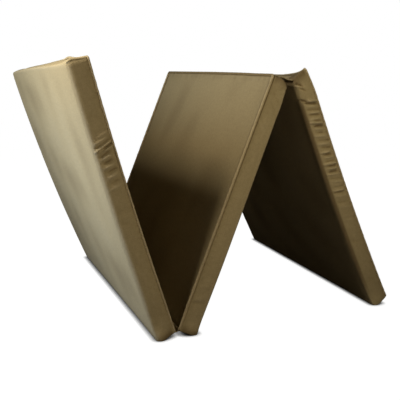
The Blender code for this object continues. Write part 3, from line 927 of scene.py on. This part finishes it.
# How far the cloth of an end droops, by place along the end, or for the lobe by depth
HEAD_DROOP_TOP = (
    (-0.381, -0.12, 0.0, 0.09, 0.19, 0.29, 0.381),
    (-0.0010, -0.0010, 0.0020, 0.0062, 0.0108, 0.0145, 0.0172),
)
HEAD_DROOP_BASE = (
    (-0.381, -0.115, 0.025, 0.137, 0.265, 0.33, 0.381), (0.0, 0.0005, 0.001, 0.0030, 0.0080, 0.0115, 0.0150)
)
LOBE_DROOP = (
    (0.0, 0.0075, 0.016, 0.026, 0.035, 0.041, 0.048), (0.0008, 0.0016, 0.0018, 0.004, 0.009, 0.0135, 0.0165)
)
MIDDLE_DROOP = ((-0.381, -0.286, -0.19, 0.0, 0.381), (0.0022, 0.0024, 0.0010, 0.0, 0.0))
FOOT_DROOP = ((-0.381, -0.33, -0.286, -0.24, 0.381), (0.0, 0.0022, 0.0045, 0.0068, 0.0070))

# Each panel's last row is its spare cloth on the floor: its size along, across and its level
# and height in depths, and how far it is pushed along and out of the side.
HEAD = Panel(
    "head", END_PANEL_LENGTH, "lower_fold", 1, (-HINGE_REACH - END_PANEL_LENGTH / 2, -HINGE_RISE),
    (1,), (11, 51, 75), HEAD_FOLDS, head_corners,
    (0.022, 0.030, 0.78, 0.35, 0.0015, 0.0085),
)
MIDDLE = Panel(
    "middle", MIDDLE_PANEL_LENGTH, "lower_fold", -1, (MIDDLE_REACH + MIDDLE_PANEL_LENGTH / 2, -HINGE_RISE),
    (-1, 1), (23, 53, 77), MIDDLE_FOLDS, middle_corners,
    (0.020, 0.028, 0.75, 0.4, -0.0010, 0.0060),
)
FOOT = Panel(
    "foot", END_PANEL_LENGTH, "upper_fold", 1, (HINGE_REACH + END_PANEL_LENGTH / 2, HINGE_RISE + THICKNESS),
    (-1,), (37, 57, 75), FOOT_FOLDS, foot_corners,
    (0.022, 0.030, 0.7, 0.45, 0.0010, 0.0065),
)
PANELS = (HEAD, MIDDLE, FOOT)


def relaxed(points, faces, sewn):
    """The cover after a cloth simulation: held at its seams and blown up a little by its foam."""
    trial = bpy.data.objects.new("trial", mesh_from("trial", points, faces))
    SCENE.collection.objects.link(trial)
    group = trial.vertex_groups.new(name=SETTLING["vertex_group_mass"])
    for level in np.unique(sewn):
        group.add(np.nonzero(sewn == level)[0].tolist(), float(level), "REPLACE")
    cloth = trial.modifiers.new("cloth", "CLOTH")
    for key, value in SETTLING.items():
        setattr(cloth.settings, key, value)
    cloth.settings.effector_weights.gravity = 0.0
    cloth.collision_settings.use_collision = False
    cloth.collision_settings.use_self_collision = False
    for step in range(1, SETTLING_FRAMES + 1):
        SCENE.frame_set(step)
    held = trial.evaluated_get(bpy.context.evaluated_depsgraph_get()).to_mesh()
    found = np.zeros(len(held.vertices) * 3, np.float32)
    held.vertices.foreach_get("co", found)
    SCENE.frame_set(1)
    mesh = trial.data
    bpy.data.objects.remove(trial)
    bpy.data.meshes.remove(mesh)
    moved = np.nan_to_num(found.reshape(-1, 3).astype(float) - points)
    far = np.linalg.norm(moved, axis=1, keepdims=True)
    return points + moved * MOST_SETTLED * np.tanh(far / MOST_SETTLED) / np.maximum(far, 1e-9)


def add_base_cover(panel):
    """The cloth under the panel and up its sides, held at its seams and its zip."""
    block, faces, places = cover_grid(panel)
    points = panel.swollen(rounded(panel, block))
    points, crease, wear = wrinkled(panel, block, points, faces)
    far_side = block[:, 1] > HALF_WIDTH - 1e-6
    zip_side = far_side & (np.abs(block[:, 2] - ZIP_LEVEL) < ZIP_HALF_HEIGHT + 0.003)
    rim = block[:, 2] > -SEAM_DEPTH - 1e-6
    points = relaxed(points, faces, np.where(rim | zip_side, 1.0, 0.4))
    wall = far_side * (1.0 - smooth_step(np.abs(block[:, 0]), panel.half_zip + 0.002, panel.half - 0.006))
    mesh = mesh_from(
        "base cover", panel.stand(points, wall), faces, places, {"crease": crease, "wear": wear}
    )
    cover = panel.piece("base_cover_cloth", mesh, "cover_cloth", "base_cover")
    thicken(cover)


def add_foam(panel):
    """The slab of foam, which fills the cover and stays behind its folds and its zip."""
    bm = bmesh.new()
    bmesh.ops.create_cube(bm, size=1.0)
    size = Vector((panel.length, 2 * HALF_WIDTH - FOAM_ZIP_ROOM, THICKNESS))
    bmesh.ops.scale(bm, vec=size - Vector((2 * FOAM_GAP,) * 3), verts=bm.verts)
    bmesh.ops.translate(bm, vec=(0.0, -FOAM_ZIP_ROOM / 2, -THICKNESS / 2), verts=bm.verts)
    bmesh.ops.bevel(bm, geom=bm.edges[:], offset=FOAM_EDGE, segments=4, profile=0.5, affect="EDGES")
    for normal, reach, count in (((1, 0, 0), panel.length, 24), ((0, 1, 0), 2 * HALF_WIDTH, 28)):
        for cut in range(1, count):
            bmesh.ops.bisect_plane(
                bm, geom=bm.verts[:] + bm.edges[:] + bm.faces[:],
                plane_co=Vector(normal) * ((cut / count - 0.5) * reach), plane_no=normal,
            )
    mesh = bpy.data.meshes.new("foam slab")
    bm.to_mesh(mesh)
    bm.free()
    block = np.array([v.co for v in mesh.vertices], float)
    plain = panel.swollen(block)
    points = panel.dog_ears(plain.copy(), block)
    drawn_in = np.minimum if panel.name == "middle" else np.maximum
    points[:, 0] = drawn_in(points[:, 0], plain[:, 0])
    points[:, 1] = np.maximum(points[:, 1], plain[:, 1])
    down, _, from_side, _ = panel.measures(block)
    under_folds = 0.0050 + 0.0050 * bell(down, 0.10) if panel.name == "foot" else 0.0035
    points[:, 1] += under_folds * bell(from_side, 0.03)
    placed = panel.stand(points, bell(HALF_WIDTH - points[:, 1], 0.02))
    mesh.vertices.foreach_set("co", placed.astype(np.float32).ravel())
    mesh.shade_smooth()
    panel.piece("foam_slab", mesh, "core_foam", "foam_core")


def add_top_cover(panel):
    """The flat cloth over the sleeping side, drawn up a little where it is sewn to the piping."""
    inset = TOP_COVER_INSET
    xs, ys = (
        np.unique(np.round(np.clip(cuts, -half + inset, half - inset), 7))
        for cuts, half in ((evenly(panel.half, 0.006), panel.half), (graded(HALF_WIDTH, 0.06), HALF_WIDTH))
    )
    x, y = (grid.ravel() for grid in np.meshgrid(xs, ys, indexing="ij"))
    seed = panel.face_seed
    from_end, from_side = panel.half - np.abs(x), HALF_WIDTH - np.abs(y)
    edge = np.minimum(from_end, from_side) - inset
    height = -0.0012 * bell(edge, 0.0035) - 0.0006 * bell(edge, 0.012)
    drawn_up = np.where(from_end < from_side, gathers(y, seed, 0.022), gathers(x, seed + 1, 0.022))
    height += 0.0006 * bell(edge - 0.010, 0.011) * drawn_up
    height += 0.0010 * waves(x, y, seed + 2, 0.34) * unit(edge / 0.05)
    points = panel.swollen(np.stack([x, y, height], 1))
    end_depth, side_depth = panel.half - np.abs(points[:, 0]), HALF_WIDTH - np.abs(points[:, 1])
    end_depth, side_depth = squared_to_round(end_depth, side_depth, panel.corner_radius(x, y))
    points[:, 0] = np.sign(points[:, 0]) * (panel.half - end_depth)
    points[:, 1] = np.sign(points[:, 1]) * (HALF_WIDTH - side_depth)
    columns = len(ys)
    faces = [
        (corner, corner + columns, corner + columns + 1, corner + 1)
        for start in range(0, columns * (len(xs) - 1), columns)
        for corner in range(start, start + columns - 1)
    ]
    places = [(x[corner], y[corner]) for face in faces for corner in face]
    points = panel.dog_ears(points, np.stack([x, y, np.zeros(len(x))], 1))
    # Painted shade beside the piping seam and in the dips, on the middle panel fading away from its top; a
    # lighter band of rubbing and painted highlight beside it
    seam_shade_share = 1.0
    if panel.name == "middle":
        down = panel.half - x
        seam_shade_share = smooth_step(down, 0.008, 0.02) * (0.15 + 0.85 * bell(down, 0.30))
    crease = 0.9 * bell(edge - 0.0055, 0.0050) * seam_shade_share + np.clip(-height / 0.004, 0, 0.3)
    marks = {"crease": unit(crease), "wear": 0.25 * bell(edge - 0.009, 0.005)}
    mesh = mesh_from("top cover", panel.stand(points), faces, places, marks)
    cover = panel.piece("top_cover_cloth", mesh, "cover_cloth", "top_cover")
    thicken(cover)
    return cover


def add_piping(panel):
    """The welt between the top cover and the sides."""
    middle = panel.name == "middle"
    cut_x, cut_y = panel.half - PIPING_INSET, HALF_WIDTH - PIPING_INSET
    route = []
    for index, (sign_x, sign_y) in enumerate(((1, 1), (-1, 1), (-1, -1), (1, -1))):
        radius = float(panel.corner_radius(np.array([sign_x]), np.array([sign_y]))[0]) - 0.001
        steps = 6 if radius < 0.01 else 12
        middle_x, middle_y = sign_x * (cut_x - radius), sign_y * (cut_y - radius)
        for turn in pi / 2 * (index + np.arange(steps + 1) / steps):
            route.append((middle_x + radius * cos(turn), middle_y + radius * sin(turn)))
    fine = []
    for (x0, y0), (x1, y1) in zip(route, route[1:] + route[:1]):
        cells = max(1, round(hypot(x1 - x0, y1 - y0) / 0.006))
        fine += [(x0 + (x1 - x0) * k / cells, y0 + (y1 - y0) * k / cells) for k in range(cells)]
    flat = np.array([(x, y, 0.0002 if middle else -0.0006) for x, y in fine])
    line = panel.dog_ears(panel.swollen(flat), flat * (1.0, 1.0, 0.0))
    unevenness = gathers(travelled(line), panel.piping_seed, 0.019)
    line[:, 2] += 0.00018 * unevenness
    if panel.name != "foot":
        line[:, 2] -= 0.0009 * bell(flat[:, 0] - panel.hinge_ends[0] * panel.half, 0.06)
    high = (0.0032 if middle else 0.0026) + 0.00010 * unevenness
    rings, faces, places = tube(line, (0.0033 + 0.00012 * unevenness, high), PIPING_SIDES)
    # The piping is made lighter, most at the near side: rubbing with painted highlight; the middle panel's
    # gets painted shade at its top end, away from the near side
    near = bell(flat[:, 1] + HALF_WIDTH, 0.006)
    wear, crease = 0.5 + 0.5 * near, np.zeros(len(flat))
    if middle:
        crease = 0.8 * bell(panel.half - flat[:, 0], 0.006) * (1.0 - near)
        wear = 0.6 * (1.0 - crease)
    marks = {"wear": np.repeat(wear, PIPING_SIDES), "crease": np.repeat(crease, PIPING_SIDES)}
    mesh = mesh_from("piping", panel.stand(rings), faces, places, marks)
    return panel.piece("piping_welt", mesh, "edging_cloth", "piping")


for panel in PANELS:
    add_base_cover(panel)
    add_foam(panel)
    top = add_top_cover(panel)
    welt = add_piping(panel)


# Hinges and zips


def bars(middles, along, above):
    """One short thick bar per stitch of sewing thread, sunk in at both ends."""
    along, above = np.array(along), np.array(above)
    across = np.cross(along, above)
    shape = []
    for place, size, rise in ((-0.5, 0.3, -0.7), (-0.28, 1.0, 0.3), (0.28, 1.0, 0.3), (0.5, 0.3, -0.7)):
        for turn in 2 * pi * np.arange(5) / 5:
            shape.append(
                along * (place * STITCH_LENGTH)
                + across * (cos(turn) * THREAD_RADIUS * size)
                + above * (THREAD_RADIUS * (rise + sin(turn) * size))
            )
    points = (np.asarray(middles)[:, None, :] + np.array(shape)[None]).reshape(-1, 3)
    faces = []
    for first in range(0, len(points), len(shape)):
        for ring in range(first, first + 15, 5):
            for side in range(5):
                beside = (side + 1) % 5
                faces.append((ring + side, ring + beside, ring + 5 + beside, ring + 5 + side))
    return points, faces


def joined(*pieces):
    """Several meshes' points and faces as one."""
    points, faces = [], []
    for some_points, some_faces in pieces:
        first = sum(len(others) for others in points)
        points.append(some_points)
        faces += [tuple(first + corner for corner in face) for face in some_faces]
    return np.concatenate(points), faces


def smooth_line(points, cells):
    """A line through points, rounded between them."""
    points = [points[0], *points, points[-1]]
    line = []
    for before, start, end, after in zip(points, points[1:], points[2:], points[3:]):
        for step in np.arange(cells) / cells:
            bent = (2 * before - 5 * start + 4 * end - after) * step**2
            bent = bent + (3 * start - before - 3 * end + after) * step**3
            line.append(0.5 * (2 * start + (end - before) * step + bent))
    return np.array(line + [points[-1]])


def add_hinge_strip(name, fold, legs, turned_out):
    """The cloth of one fold: sewn to two end walls, with enough slack between to turn over the axis."""
    axis = np.array(JOINTS[fold]["pos_m"])
    out = FIT_GAP + CLOTH / 2
    first, second = (
        [panel.set_up([(end * (panel.half + out), 0.0, z)])[0] for z in levels]
        for panel, end, levels in legs
    )
    line = smooth_line([first[1], first[0], axis, second[0], second[1]], 7)
    steps = np.gradient(line, axis=0)
    steps /= np.linalg.norm(steps, axis=1, keepdims=True)
    normals = np.cross(steps, (0.0, 1.0, 0.0)) * turned_out
    half = HALF_WIDTH - HINGE_STRIP_END_INSET
    along = np.linspace(-half, half, 151)
    down = travelled(line)
    total = down[-1]
    from_edge = np.minimum(down, total - down)
    slack = unit((from_edge - 0.009) / 0.006)
    chance = np.random.default_rng(len(name))
    sag = 0.0006 * sum(
        np.sin(2 * pi * along / length + chance.uniform(0, 6.0)) for length in (0.09, 0.041, 0.023)
    )
    hem = CLOTH / 2 + 0.00035 * (from_edge < 0.0062)
    middle = line[:, None] + normals[:, None] * (slack[:, None] * sag[None])[..., None]
    middle[..., 1] = axis[1] + along[None]
    thick = (normals * hem[:, None])[:, None]
    rows, columns = len(line), len(along)
    points = np.concatenate([sheet.reshape(-1, 3) for sheet in (middle + thick, middle - thick)])
    points[:, 2] = np.maximum(points[:, 2], 0.0003)
    faces, flats = [], []

    def quad(*corners):
        faces.append(tuple((layer * rows + i) * columns + j for layer, i, j in corners))
        flats.extend((down[i], along[j]) for _, i, j in corners)

    last_i, last_j = rows - 1, columns - 1
    for i in range(last_i):
        for j in range(last_j):
            quad((0, i, j), (0, i + 1, j), (0, i + 1, j + 1), (0, i, j + 1))
            quad((1, i, j), (1, i, j + 1), (1, i + 1, j + 1), (1, i + 1, j))
    for i in range(last_i):
        quad((0, i, 0), (1, i, 0), (1, i + 1, 0), (0, i + 1, 0))
        quad((0, i, last_j), (0, i + 1, last_j), (1, i + 1, last_j), (1, i, last_j))
    for j in range(last_j):
        quad((0, 0, j), (0, 0, j + 1), (1, 0, j + 1), (1, 0, j))
        quad((0, last_i, j), (1, last_i, j), (1, last_i, j + 1), (0, last_i, j + 1))
    threads = []
    places = np.arange(-half + 0.004, half - 0.004, 0.0036)
    for row in (0.0022, 0.0052, total - 0.0052, total - 0.0022):
        nearest = int(np.argmin(np.abs(down - row)))
        middles = np.tile(line[nearest] + normals[nearest] * (CLOTH / 2 + 0.0005), (len(places), 1))
        middles[:, 1] = axis[1] + places
        threads.append(bars(middles, (0.0, 1.0, 0.0), normals[nearest]))
    wear = np.full(len(points), 0.25)
    points, faces = joined((points, faces), *threads)
    flats += [(0.0, 0.0)] * (4 * len(faces) - len(flats))
    wear = np.pad(wear, (0, len(points) - len(wear)), constant_values=0.85)
    mesh = mesh_from(name, points, faces, flats, {"wear": wear, "crease": np.zeros(len(points))})
    strip = new_piece(name + "_cloth", mesh, "edging_cloth", None, [name])
    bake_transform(strip)


def rounded_box(bm, low, high, bevel, segments=2):
    """Adds a box with rounded edges to a mesh being made."""
    fresh = bmesh.ops.create_cube(bm, size=1.0)["verts"]
    low, high = Vector(low), Vector(high)
    bmesh.ops.scale(bm, vec=high - low, verts=fresh)
    bmesh.ops.translate(bm, vec=(low + high) / 2, verts=fresh)
    edges = list({edge for vert in fresh for edge in vert.link_edges})
    bmesh.ops.bevel(bm, geom=edges, offset=bevel, segments=segments, profile=0.5, affect="EDGES")


def plate(bm, outline, low, high, bevel):
    """Adds a flat plate of an outline in X and Z, from low to high in Y, with rounded rims."""
    face = bm.faces.new([bm.verts.new((x, low, z)) for x, z in outline])
    pushed = bmesh.ops.extrude_face_region(bm, geom=[face])["geom"]
    raised = [item for item in pushed if isinstance(item, bmesh.types.BMVert)]
    bmesh.ops.translate(bm, vec=(0.0, high - low, 0.0), verts=raised)
    rims = {edge for vert in raised for edge in vert.link_edges if all(v in raised for v in edge.verts)}
    rims |= set(face.edges)
    bmesh.ops.bevel(bm, geom=list(rims), offset=bevel, segments=2, profile=0.5, affect="EDGES")


def metal_piece(panel, name, bm, replaced, place, body="panel"):
    """A metal piece of the zip, from the middle of the zip to its place on the standing panel."""
    bmesh.ops.recalc_face_normals(bm, faces=bm.faces[:])
    mesh = bpy.data.meshes.new(name)
    bm.to_mesh(mesh)
    bm.free()
    points = np.array([vert.co for vert in mesh.vertices]) + (place, HALF_WIDTH, ZIP_LEVEL)
    mesh.vertices.foreach_set("co", panel.set_up(points).astype(np.float32).ravel())
    mesh.shade_smooth()
    mesh.set_sharp_from_angle(angle=radians(55))
    panel.piece(name, mesh, "zip_metal", replaced, body)


def add_tape(panel, side, row):
    """Half of the zip's tape, from the coil to under the edge of the slot in the cover."""
    half = panel.half_zip - FIT_GAP
    xs = np.linspace(-half, half, 120)
    count = len(TAPE_SECTION)
    girth = travelled(TAPE_SECTION)
    points, faces, flats = [], [], []
    for x in xs:
        unevenness = 0.00012 * sin(x * 190.0 + side) + 0.00008 * sin(x * 463.0)
        points += [
            (x, HALF_WIDTH + y + unevenness * (z > 0.005), ZIP_LEVEL + side * z) for y, z in TAPE_SECTION
        ]
    for i in range(len(xs) - 1):
        for j in range(count - 1):
            corners = ((i, j), (i + 1, j), (i + 1, j + 1), (i, j + 1))[::-side]
            faces.append(tuple(a * count + b for a, b in corners))
            flats += [(xs[a], girth[b]) for a, b in corners]
    wear = np.tile([0.5 if 0.007 < z < 0.0105 else 0.1 for _, z in TAPE_SECTION], len(xs))
    mesh = mesh_from("zip tape", panel.set_up(points), faces, flats, {"wear": wear})
    tape = panel.piece(f"zip_tape_{row}_cloth", mesh, "zip_nylon", f"zip_tape_{row}")
    thicken(tape)


def add_coil(panel, side, row):
    """Half of the zip's teeth: a nylon wire wound round and round along the tape's edge."""
    start = 0.001 - panel.half_zip + FIT_GAP
    steps = np.arange(int(-2 * start / TEETH_PITCH) * 7) / 7
    inner, outer = -0.0004, (TEETH_SLIT + TEETH_WIDTH) / 2
    low, high = ZIP_INNER + 0.0008 + COIL_WIRE, ZIP_INNER + TEETH_DEPTH - COIL_WIRE
    reach = (outer - inner) / 2 - COIL_WIRE
    angle = 2 * pi * steps
    route = np.stack([
        start + TEETH_PITCH * (steps + (0.5 if side < 0 else 0.0)),
        HALF_WIDTH + (low + high) / 2 + (high - low) / 2 * np.sin(angle),
        ZIP_LEVEL + side * ((inner + outer) / 2 - reach * np.cos(angle)),
    ], 1)
    rings, faces, flats = tube(route, (COIL_WIRE, COIL_WIRE), 5, False, (1.0, 0.0, 0.0))
    mesh = mesh_from("zip coil", panel.set_up(rings), faces, flats, {"wear": np.full(len(rings), 0.4)})
    panel.piece(f"zip_coil_{row}", mesh, "zip_nylon")


def add_stops(panel):
    """The clips across both coils at the zip's ends."""
    half, wide = STOP_LENGTH / 2, (TEETH_SLIT + TEETH_WIDTH) / 2
    front = SLIDER_SEAT + STOP_DEPTH
    for end in (-1, 1):
        piece = "zip_top_stop" if end == panel.top_end else "zip_bottom_stop"
        bm = bmesh.new()
        rounded_box(bm, (-half, SLIDER_SEAT - 0.0002, -wide), (half, front, wide), 0.0005, 3)
        for side in (-1, 1):
            inner, outer = sorted((side * (wide - 0.0004), side * (wide + 0.0006)))
            rounded_box(bm, (-half * 0.8, -0.0002, inner), (half * 0.8, SLIDER_SEAT + 0.0006, outer), 0.0003)
        groove = (half * 0.3, front + 0.00015, wide * 0.7)
        rounded_box(bm, (-groove[0], SLIDER_SEAT, -groove[2]), groove, 0.0002)
        place = end * (panel.half_zip - FIT_GAP - half)
        metal_piece(panel, piece + "_clip", bm, piece, place)


def mirrored(outline):
    """A closed outline out of the half of it on one side of the middle line."""
    return list(outline) + [(x, -z) for x, z in outline[::-1]]


def slider_place(panel):
    """Where the parked slider's middle is along the zip."""
    return panel.top_end * (panel.half_zip - 2 * FIT_GAP - STOP_LENGTH - SLIDER_LENGTH / 2)


def add_slider(panel):
    """The slider with its loop, parked under the top stop."""
    nose = panel.top_end
    outline = mirrored([(nose * x, z) for x, z in SLIDER_SIDE])
    front, back = SLIDER_SEAT + SLIDER_FRONT, ZIP_INNER - FIT_GAP
    bm = bmesh.new()
    plate(bm, outline, SLIDER_SEAT, front, 0.0003)
    plate(bm, outline, back - SLIDER_BACK, back, 0.0002)
    for edge in (-1, 1):
        inner, outer = sorted((edge * 0.0037, edge * 0.0047))
        low, high = sorted((nose * -0.001, nose * 0.0044))
        rounded_box(bm, (low, 0.0003, inner), (high, front - 0.0003, outer), 0.0002)
        rounded_box(bm, (low, back - 0.0004, inner), (high, back + 0.0005, outer), 0.0002)
    neck = (NECK_LENGTH / 2, front - 0.0004, 0.0004)
    rounded_box(bm, (-neck[0], back - SLIDER_BACK / 2, -neck[2]), neck, 0.0002)
    leg, top = LOOP_LENGTH / 2 - LOOP_BAR / 2, front + LOOP_OPENING + LOOP_BAR / 2
    arch = [
        (-leg, front - 0.0005), (-leg, front + 0.0012), (0.0001 - leg, top - 0.0009),
        (0.0007 - leg, top - 0.0002), (0.0016 - leg, top),
    ]
    arch += [(-x, y) for x, y in arch[::-1]]
    points, faces, _ = tube([(x, y, 0.0) for x, y in arch], (LOOP_WIDTH / 2, LOOP_BAR / 2), 8, False)
    made = [bm.verts.new(point) for point in points]
    for face in faces:
        bm.faces.new([made[corner] for corner in face])
    metal_piece(panel, "zip_slider_body", bm, "zip_slider", slider_place(panel), "slider")


def add_pull(panel):
    """The pull that hangs in the slider's loop: a flat tab with a window and four ribs."""
    nose, bar = panel.top_end, PULL_THICKNESS / 2
    end = PULL_LENGTH - bar
    widths = (
        (-bar, 0.0020), (-bar + 0.0005, 0.0028), (0.0015, 0.0034), (0.0040, PULL_WIDTH / 2), (0.0070, 0.0034),
        (0.0110, 0.0028), (0.0150, 0.0030), (0.0190, 0.0036), (end - 0.0022, 0.0035), (end - 0.0006, 0.0024),
        (end, 0.0010),
    )
    high, wide = hypot(LOOP_LENGTH / 2, LOOP_OPENING / 2 + LOOP_BAR) + 0.0003, LOOP_WIDTH / 2 + 0.0003
    window = [(bar, -wide), (bar, wide), (high, wide), (high, -wide)]
    curve = bpy.data.curves.new("pull outline", "CURVE")
    curve.dimensions, curve.fill_mode = "2D", "BOTH"
    curve.bevel_depth, curve.bevel_resolution = 0.00022, 2
    curve.extrude = bar - curve.bevel_depth
    curve.offset = -curve.bevel_depth
    for outline in (mirrored(widths), window):
        spline = curve.splines.new("POLY")
        spline.points.add(len(outline) - 1)
        for point, (x, z) in zip(spline.points, outline):
            point.co = (x, z, 0.0, 1.0)
        spline.use_cyclic_u = True
    shape = bpy.data.objects.new("pull outline", curve)
    bm = bmesh.new()
    bm.from_mesh(shape.to_mesh())
    bpy.data.objects.remove(shape)
    for vert in bm.verts:
        vert.co = (-nose * vert.co.x, PULL_AXIS + vert.co.z, vert.co.y)
    rib = Vector((0.0003, bar + 0.00018, 0.0022))
    for step in range(4):
        middle = Vector((-nose * (0.0150 + 0.0015 * step), PULL_AXIS, 0.0))
        rounded_box(bm, middle - rib, middle + rib, 0.00015)
    metal_piece(panel, "zip_pull_tab", bm, "zip_pull", slider_place(panel), "pull")


def add_zip_stitching(panel):
    """Two rows of stitches beside the slot, through the cover and the tape."""
    rows = []
    half = panel.half_zip + 0.002
    xs = np.arange(-half, half, 0.0037)
    for side in (-1, 1):
        for out in (0.0022, 0.0048):
            level = ZIP_LEVEL + side * (ZIP_HALF_HEIGHT + out)
            middles = [(x, HALF_WIDTH + 0.0008, level) for x in xs]
            rows.append(bars(middles, (1.0, 0.0, 0.0), (0.0, 1.0, 0.0)))
    points, faces = joined(*rows)
    marks = {"wear": np.full(len(points), 0.9), "crease": np.zeros(len(points))}
    flats = [(0.0, 0.0)] * (4 * len(faces))
    mesh = mesh_from("zip stitching", panel.set_up(points), faces, flats, marks)
    panel.piece("zip_stitching", mesh, "edging_cloth")


LOWER_LEG = (-SEAM_DEPTH - HINGE_STRIP_PIPING_ROOM, -SEAM_DEPTH - HINGE_STRIP_PIPING_ROOM - HINGE_STRIP_LEG)
UPPER_LEG = (EDGE_RADIUS - THICKNESS, EDGE_RADIUS - THICKNESS + HINGE_STRIP_LEG)
add_hinge_strip("lower_hinge_strip", "lower_fold", ((HEAD, 1, LOWER_LEG), (MIDDLE, -1, LOWER_LEG)), 1)
add_hinge_strip("upper_hinge_strip", "upper_fold", ((MIDDLE, 1, UPPER_LEG), (FOOT, -1, UPPER_LEG)), -1)
for panel in PANELS:
    for side, row in ((1, "top"), (-1, "base")):
        add_tape(panel, side, row)
        add_coil(panel, side, row)
    add_stops(panel)
    add_slider(panel)
    add_pull(panel)
    add_zip_stitching(panel)


# Floor, lights and camera


def add_floor():
    """A floor that is seen white, with the mattress's shadow where it touches."""
    mesh = mesh_from("floor", [(-6, -6, 0), (6, -6, 0), (6, 6, 0), (-6, 6, 0)], [(0, 1, 2, 3)])
    finish = Finish("pale floor", 0.9, specular=0.2).set(Base_Color=FLOOR_UNSEEN)
    around = finish.node(
        "ShaderNodeAmbientOcclusion", {"samples": 8}, {"Distance": CONTACT_SHADOW_REACH}, "AO"
    )
    share = (around * 1.5 - 0.45).at_least(0.0).at_most(1.0)
    glow = finish.node("ShaderNodeEmission", None, {"Color": finish.grey(share), "Strength": 1.0})
    pale = finish.node("ShaderNodeBsdfDiffuse", None, {"Color": FLOOR_SEEN})
    both = finish.node("ShaderNodeAddShader", None, {0: pale, 1: glow})
    plain = Wire(finish, finish.shader.outputs[0])
    mix = finish.node("ShaderNodeMixShader", None, {0: finish.seen(), 1: plain, 2: both})
    finish.feed(finish.tree.nodes["Material Output"].inputs["Surface"], mix)
    floor = bpy.data.objects.new("floor", mesh)
    SCENE.collection.objects.link(floor)
    mesh.materials.append(finish.material)


def add_world():
    """A white backdrop that gives no light of its own."""
    world = bpy.data.worlds.new("studio")
    world.use_nodes = True
    SCENE.world = world
    world.node_tree.nodes.clear()
    studio = Nodes(world.node_tree)
    dark = studio.node("ShaderNodeBackground", None, {"Strength": 0.0})
    white = studio.node("ShaderNodeBackground", None, {"Color": (1.0, 1.0, 1.0), "Strength": 1.0})
    mix = studio.node("ShaderNodeMixShader", None, {0: studio.seen(), 1: dark, 2: white})
    output = world.node_tree.nodes.new("ShaderNodeOutputWorld")
    studio.feed(output.inputs["Surface"], mix)


def add_lamp(name, place, target, size, power, colour):
    lamp = bpy.data.lights.new(name, "AREA")
    lamp.shape = "RECTANGLE"
    lamp.size = lamp.size_y = size
    lamp.energy = power
    lamp.color = colour
    made = bpy.data.objects.new(name, lamp)
    made.location = place
    direction = Vector(target) - Vector(place)
    made.rotation_euler = direction.to_track_quat("-Z", "Y").to_euler()
    SCENE.collection.objects.link(made)


def add_camera():
    """The camera, where the picture was taken from."""
    data = bpy.data.cameras.new("camera")
    data.sensor_width, data.lens = 36.0, 59.594
    data.shift_x, data.shift_y = -0.1197, -0.0454
    data.clip_start, data.clip_end = 0.05, 50.0
    made = bpy.data.objects.new("camera", data)
    heading, tilt, roll = (Matrix.Rotation(radians(turn), 4, axis) for turn, axis in CAMERA_TURNS)
    made.matrix_world = Matrix.Translation(CAMERA_PLACE) @ heading @ tilt @ roll
    SCENE.collection.objects.link(made)
    SCENE.camera = made


CAMERA_PLACE = (-0.65588, -1.76052, 0.60497)
# The camera's heading, its tilt up from straight down, and its roll
CAMERA_TURNS = ((-25.33, "Z"), (80.61, "X"), (0.69, "Z"))
# Where each lamp stands, where it points, its size in metres, its watts and its colour
LAMPS = {
    "key": ((-0.8, -0.4, 1.0), (-0.1, -0.2, 0.4), 0.15, 4.49, (1.0, 0.88, 0.676)),
    "low key": ((-0.9, -0.28, 0.3), (-0.3, -0.2, 0.3), 0.15, 2.66, (0.694, 0.812, 1.0)),
    "left": ((-1.2, 0.1, 0.9), (-0.4, 0.0, 0.4), 0.4, 6.0, (0.9, 0.97, 1.0)),
    "front": ((0.0, -1.3, 0.6), (0.0, -0.38, 0.3), 0.3, 2.85, (1.0, 0.837, 0.581)),
    "near side": ((0.35, -0.85, 0.85), (0.15, -0.38, 0.5), 0.25, 0.6, (1.0, 0.92, 0.58)),
    "behind": ((1.5, 1.5, 0.7), (0.1, 0.3, 0.3), 0.8, 9.0, (1.0, 0.95, 0.87)),
}
SCENE.view_settings.view_transform = "Standard"
add_floor()
add_world()
for name, lamp in LAMPS.items():
    add_lamp(name, *lamp)
add_camera()
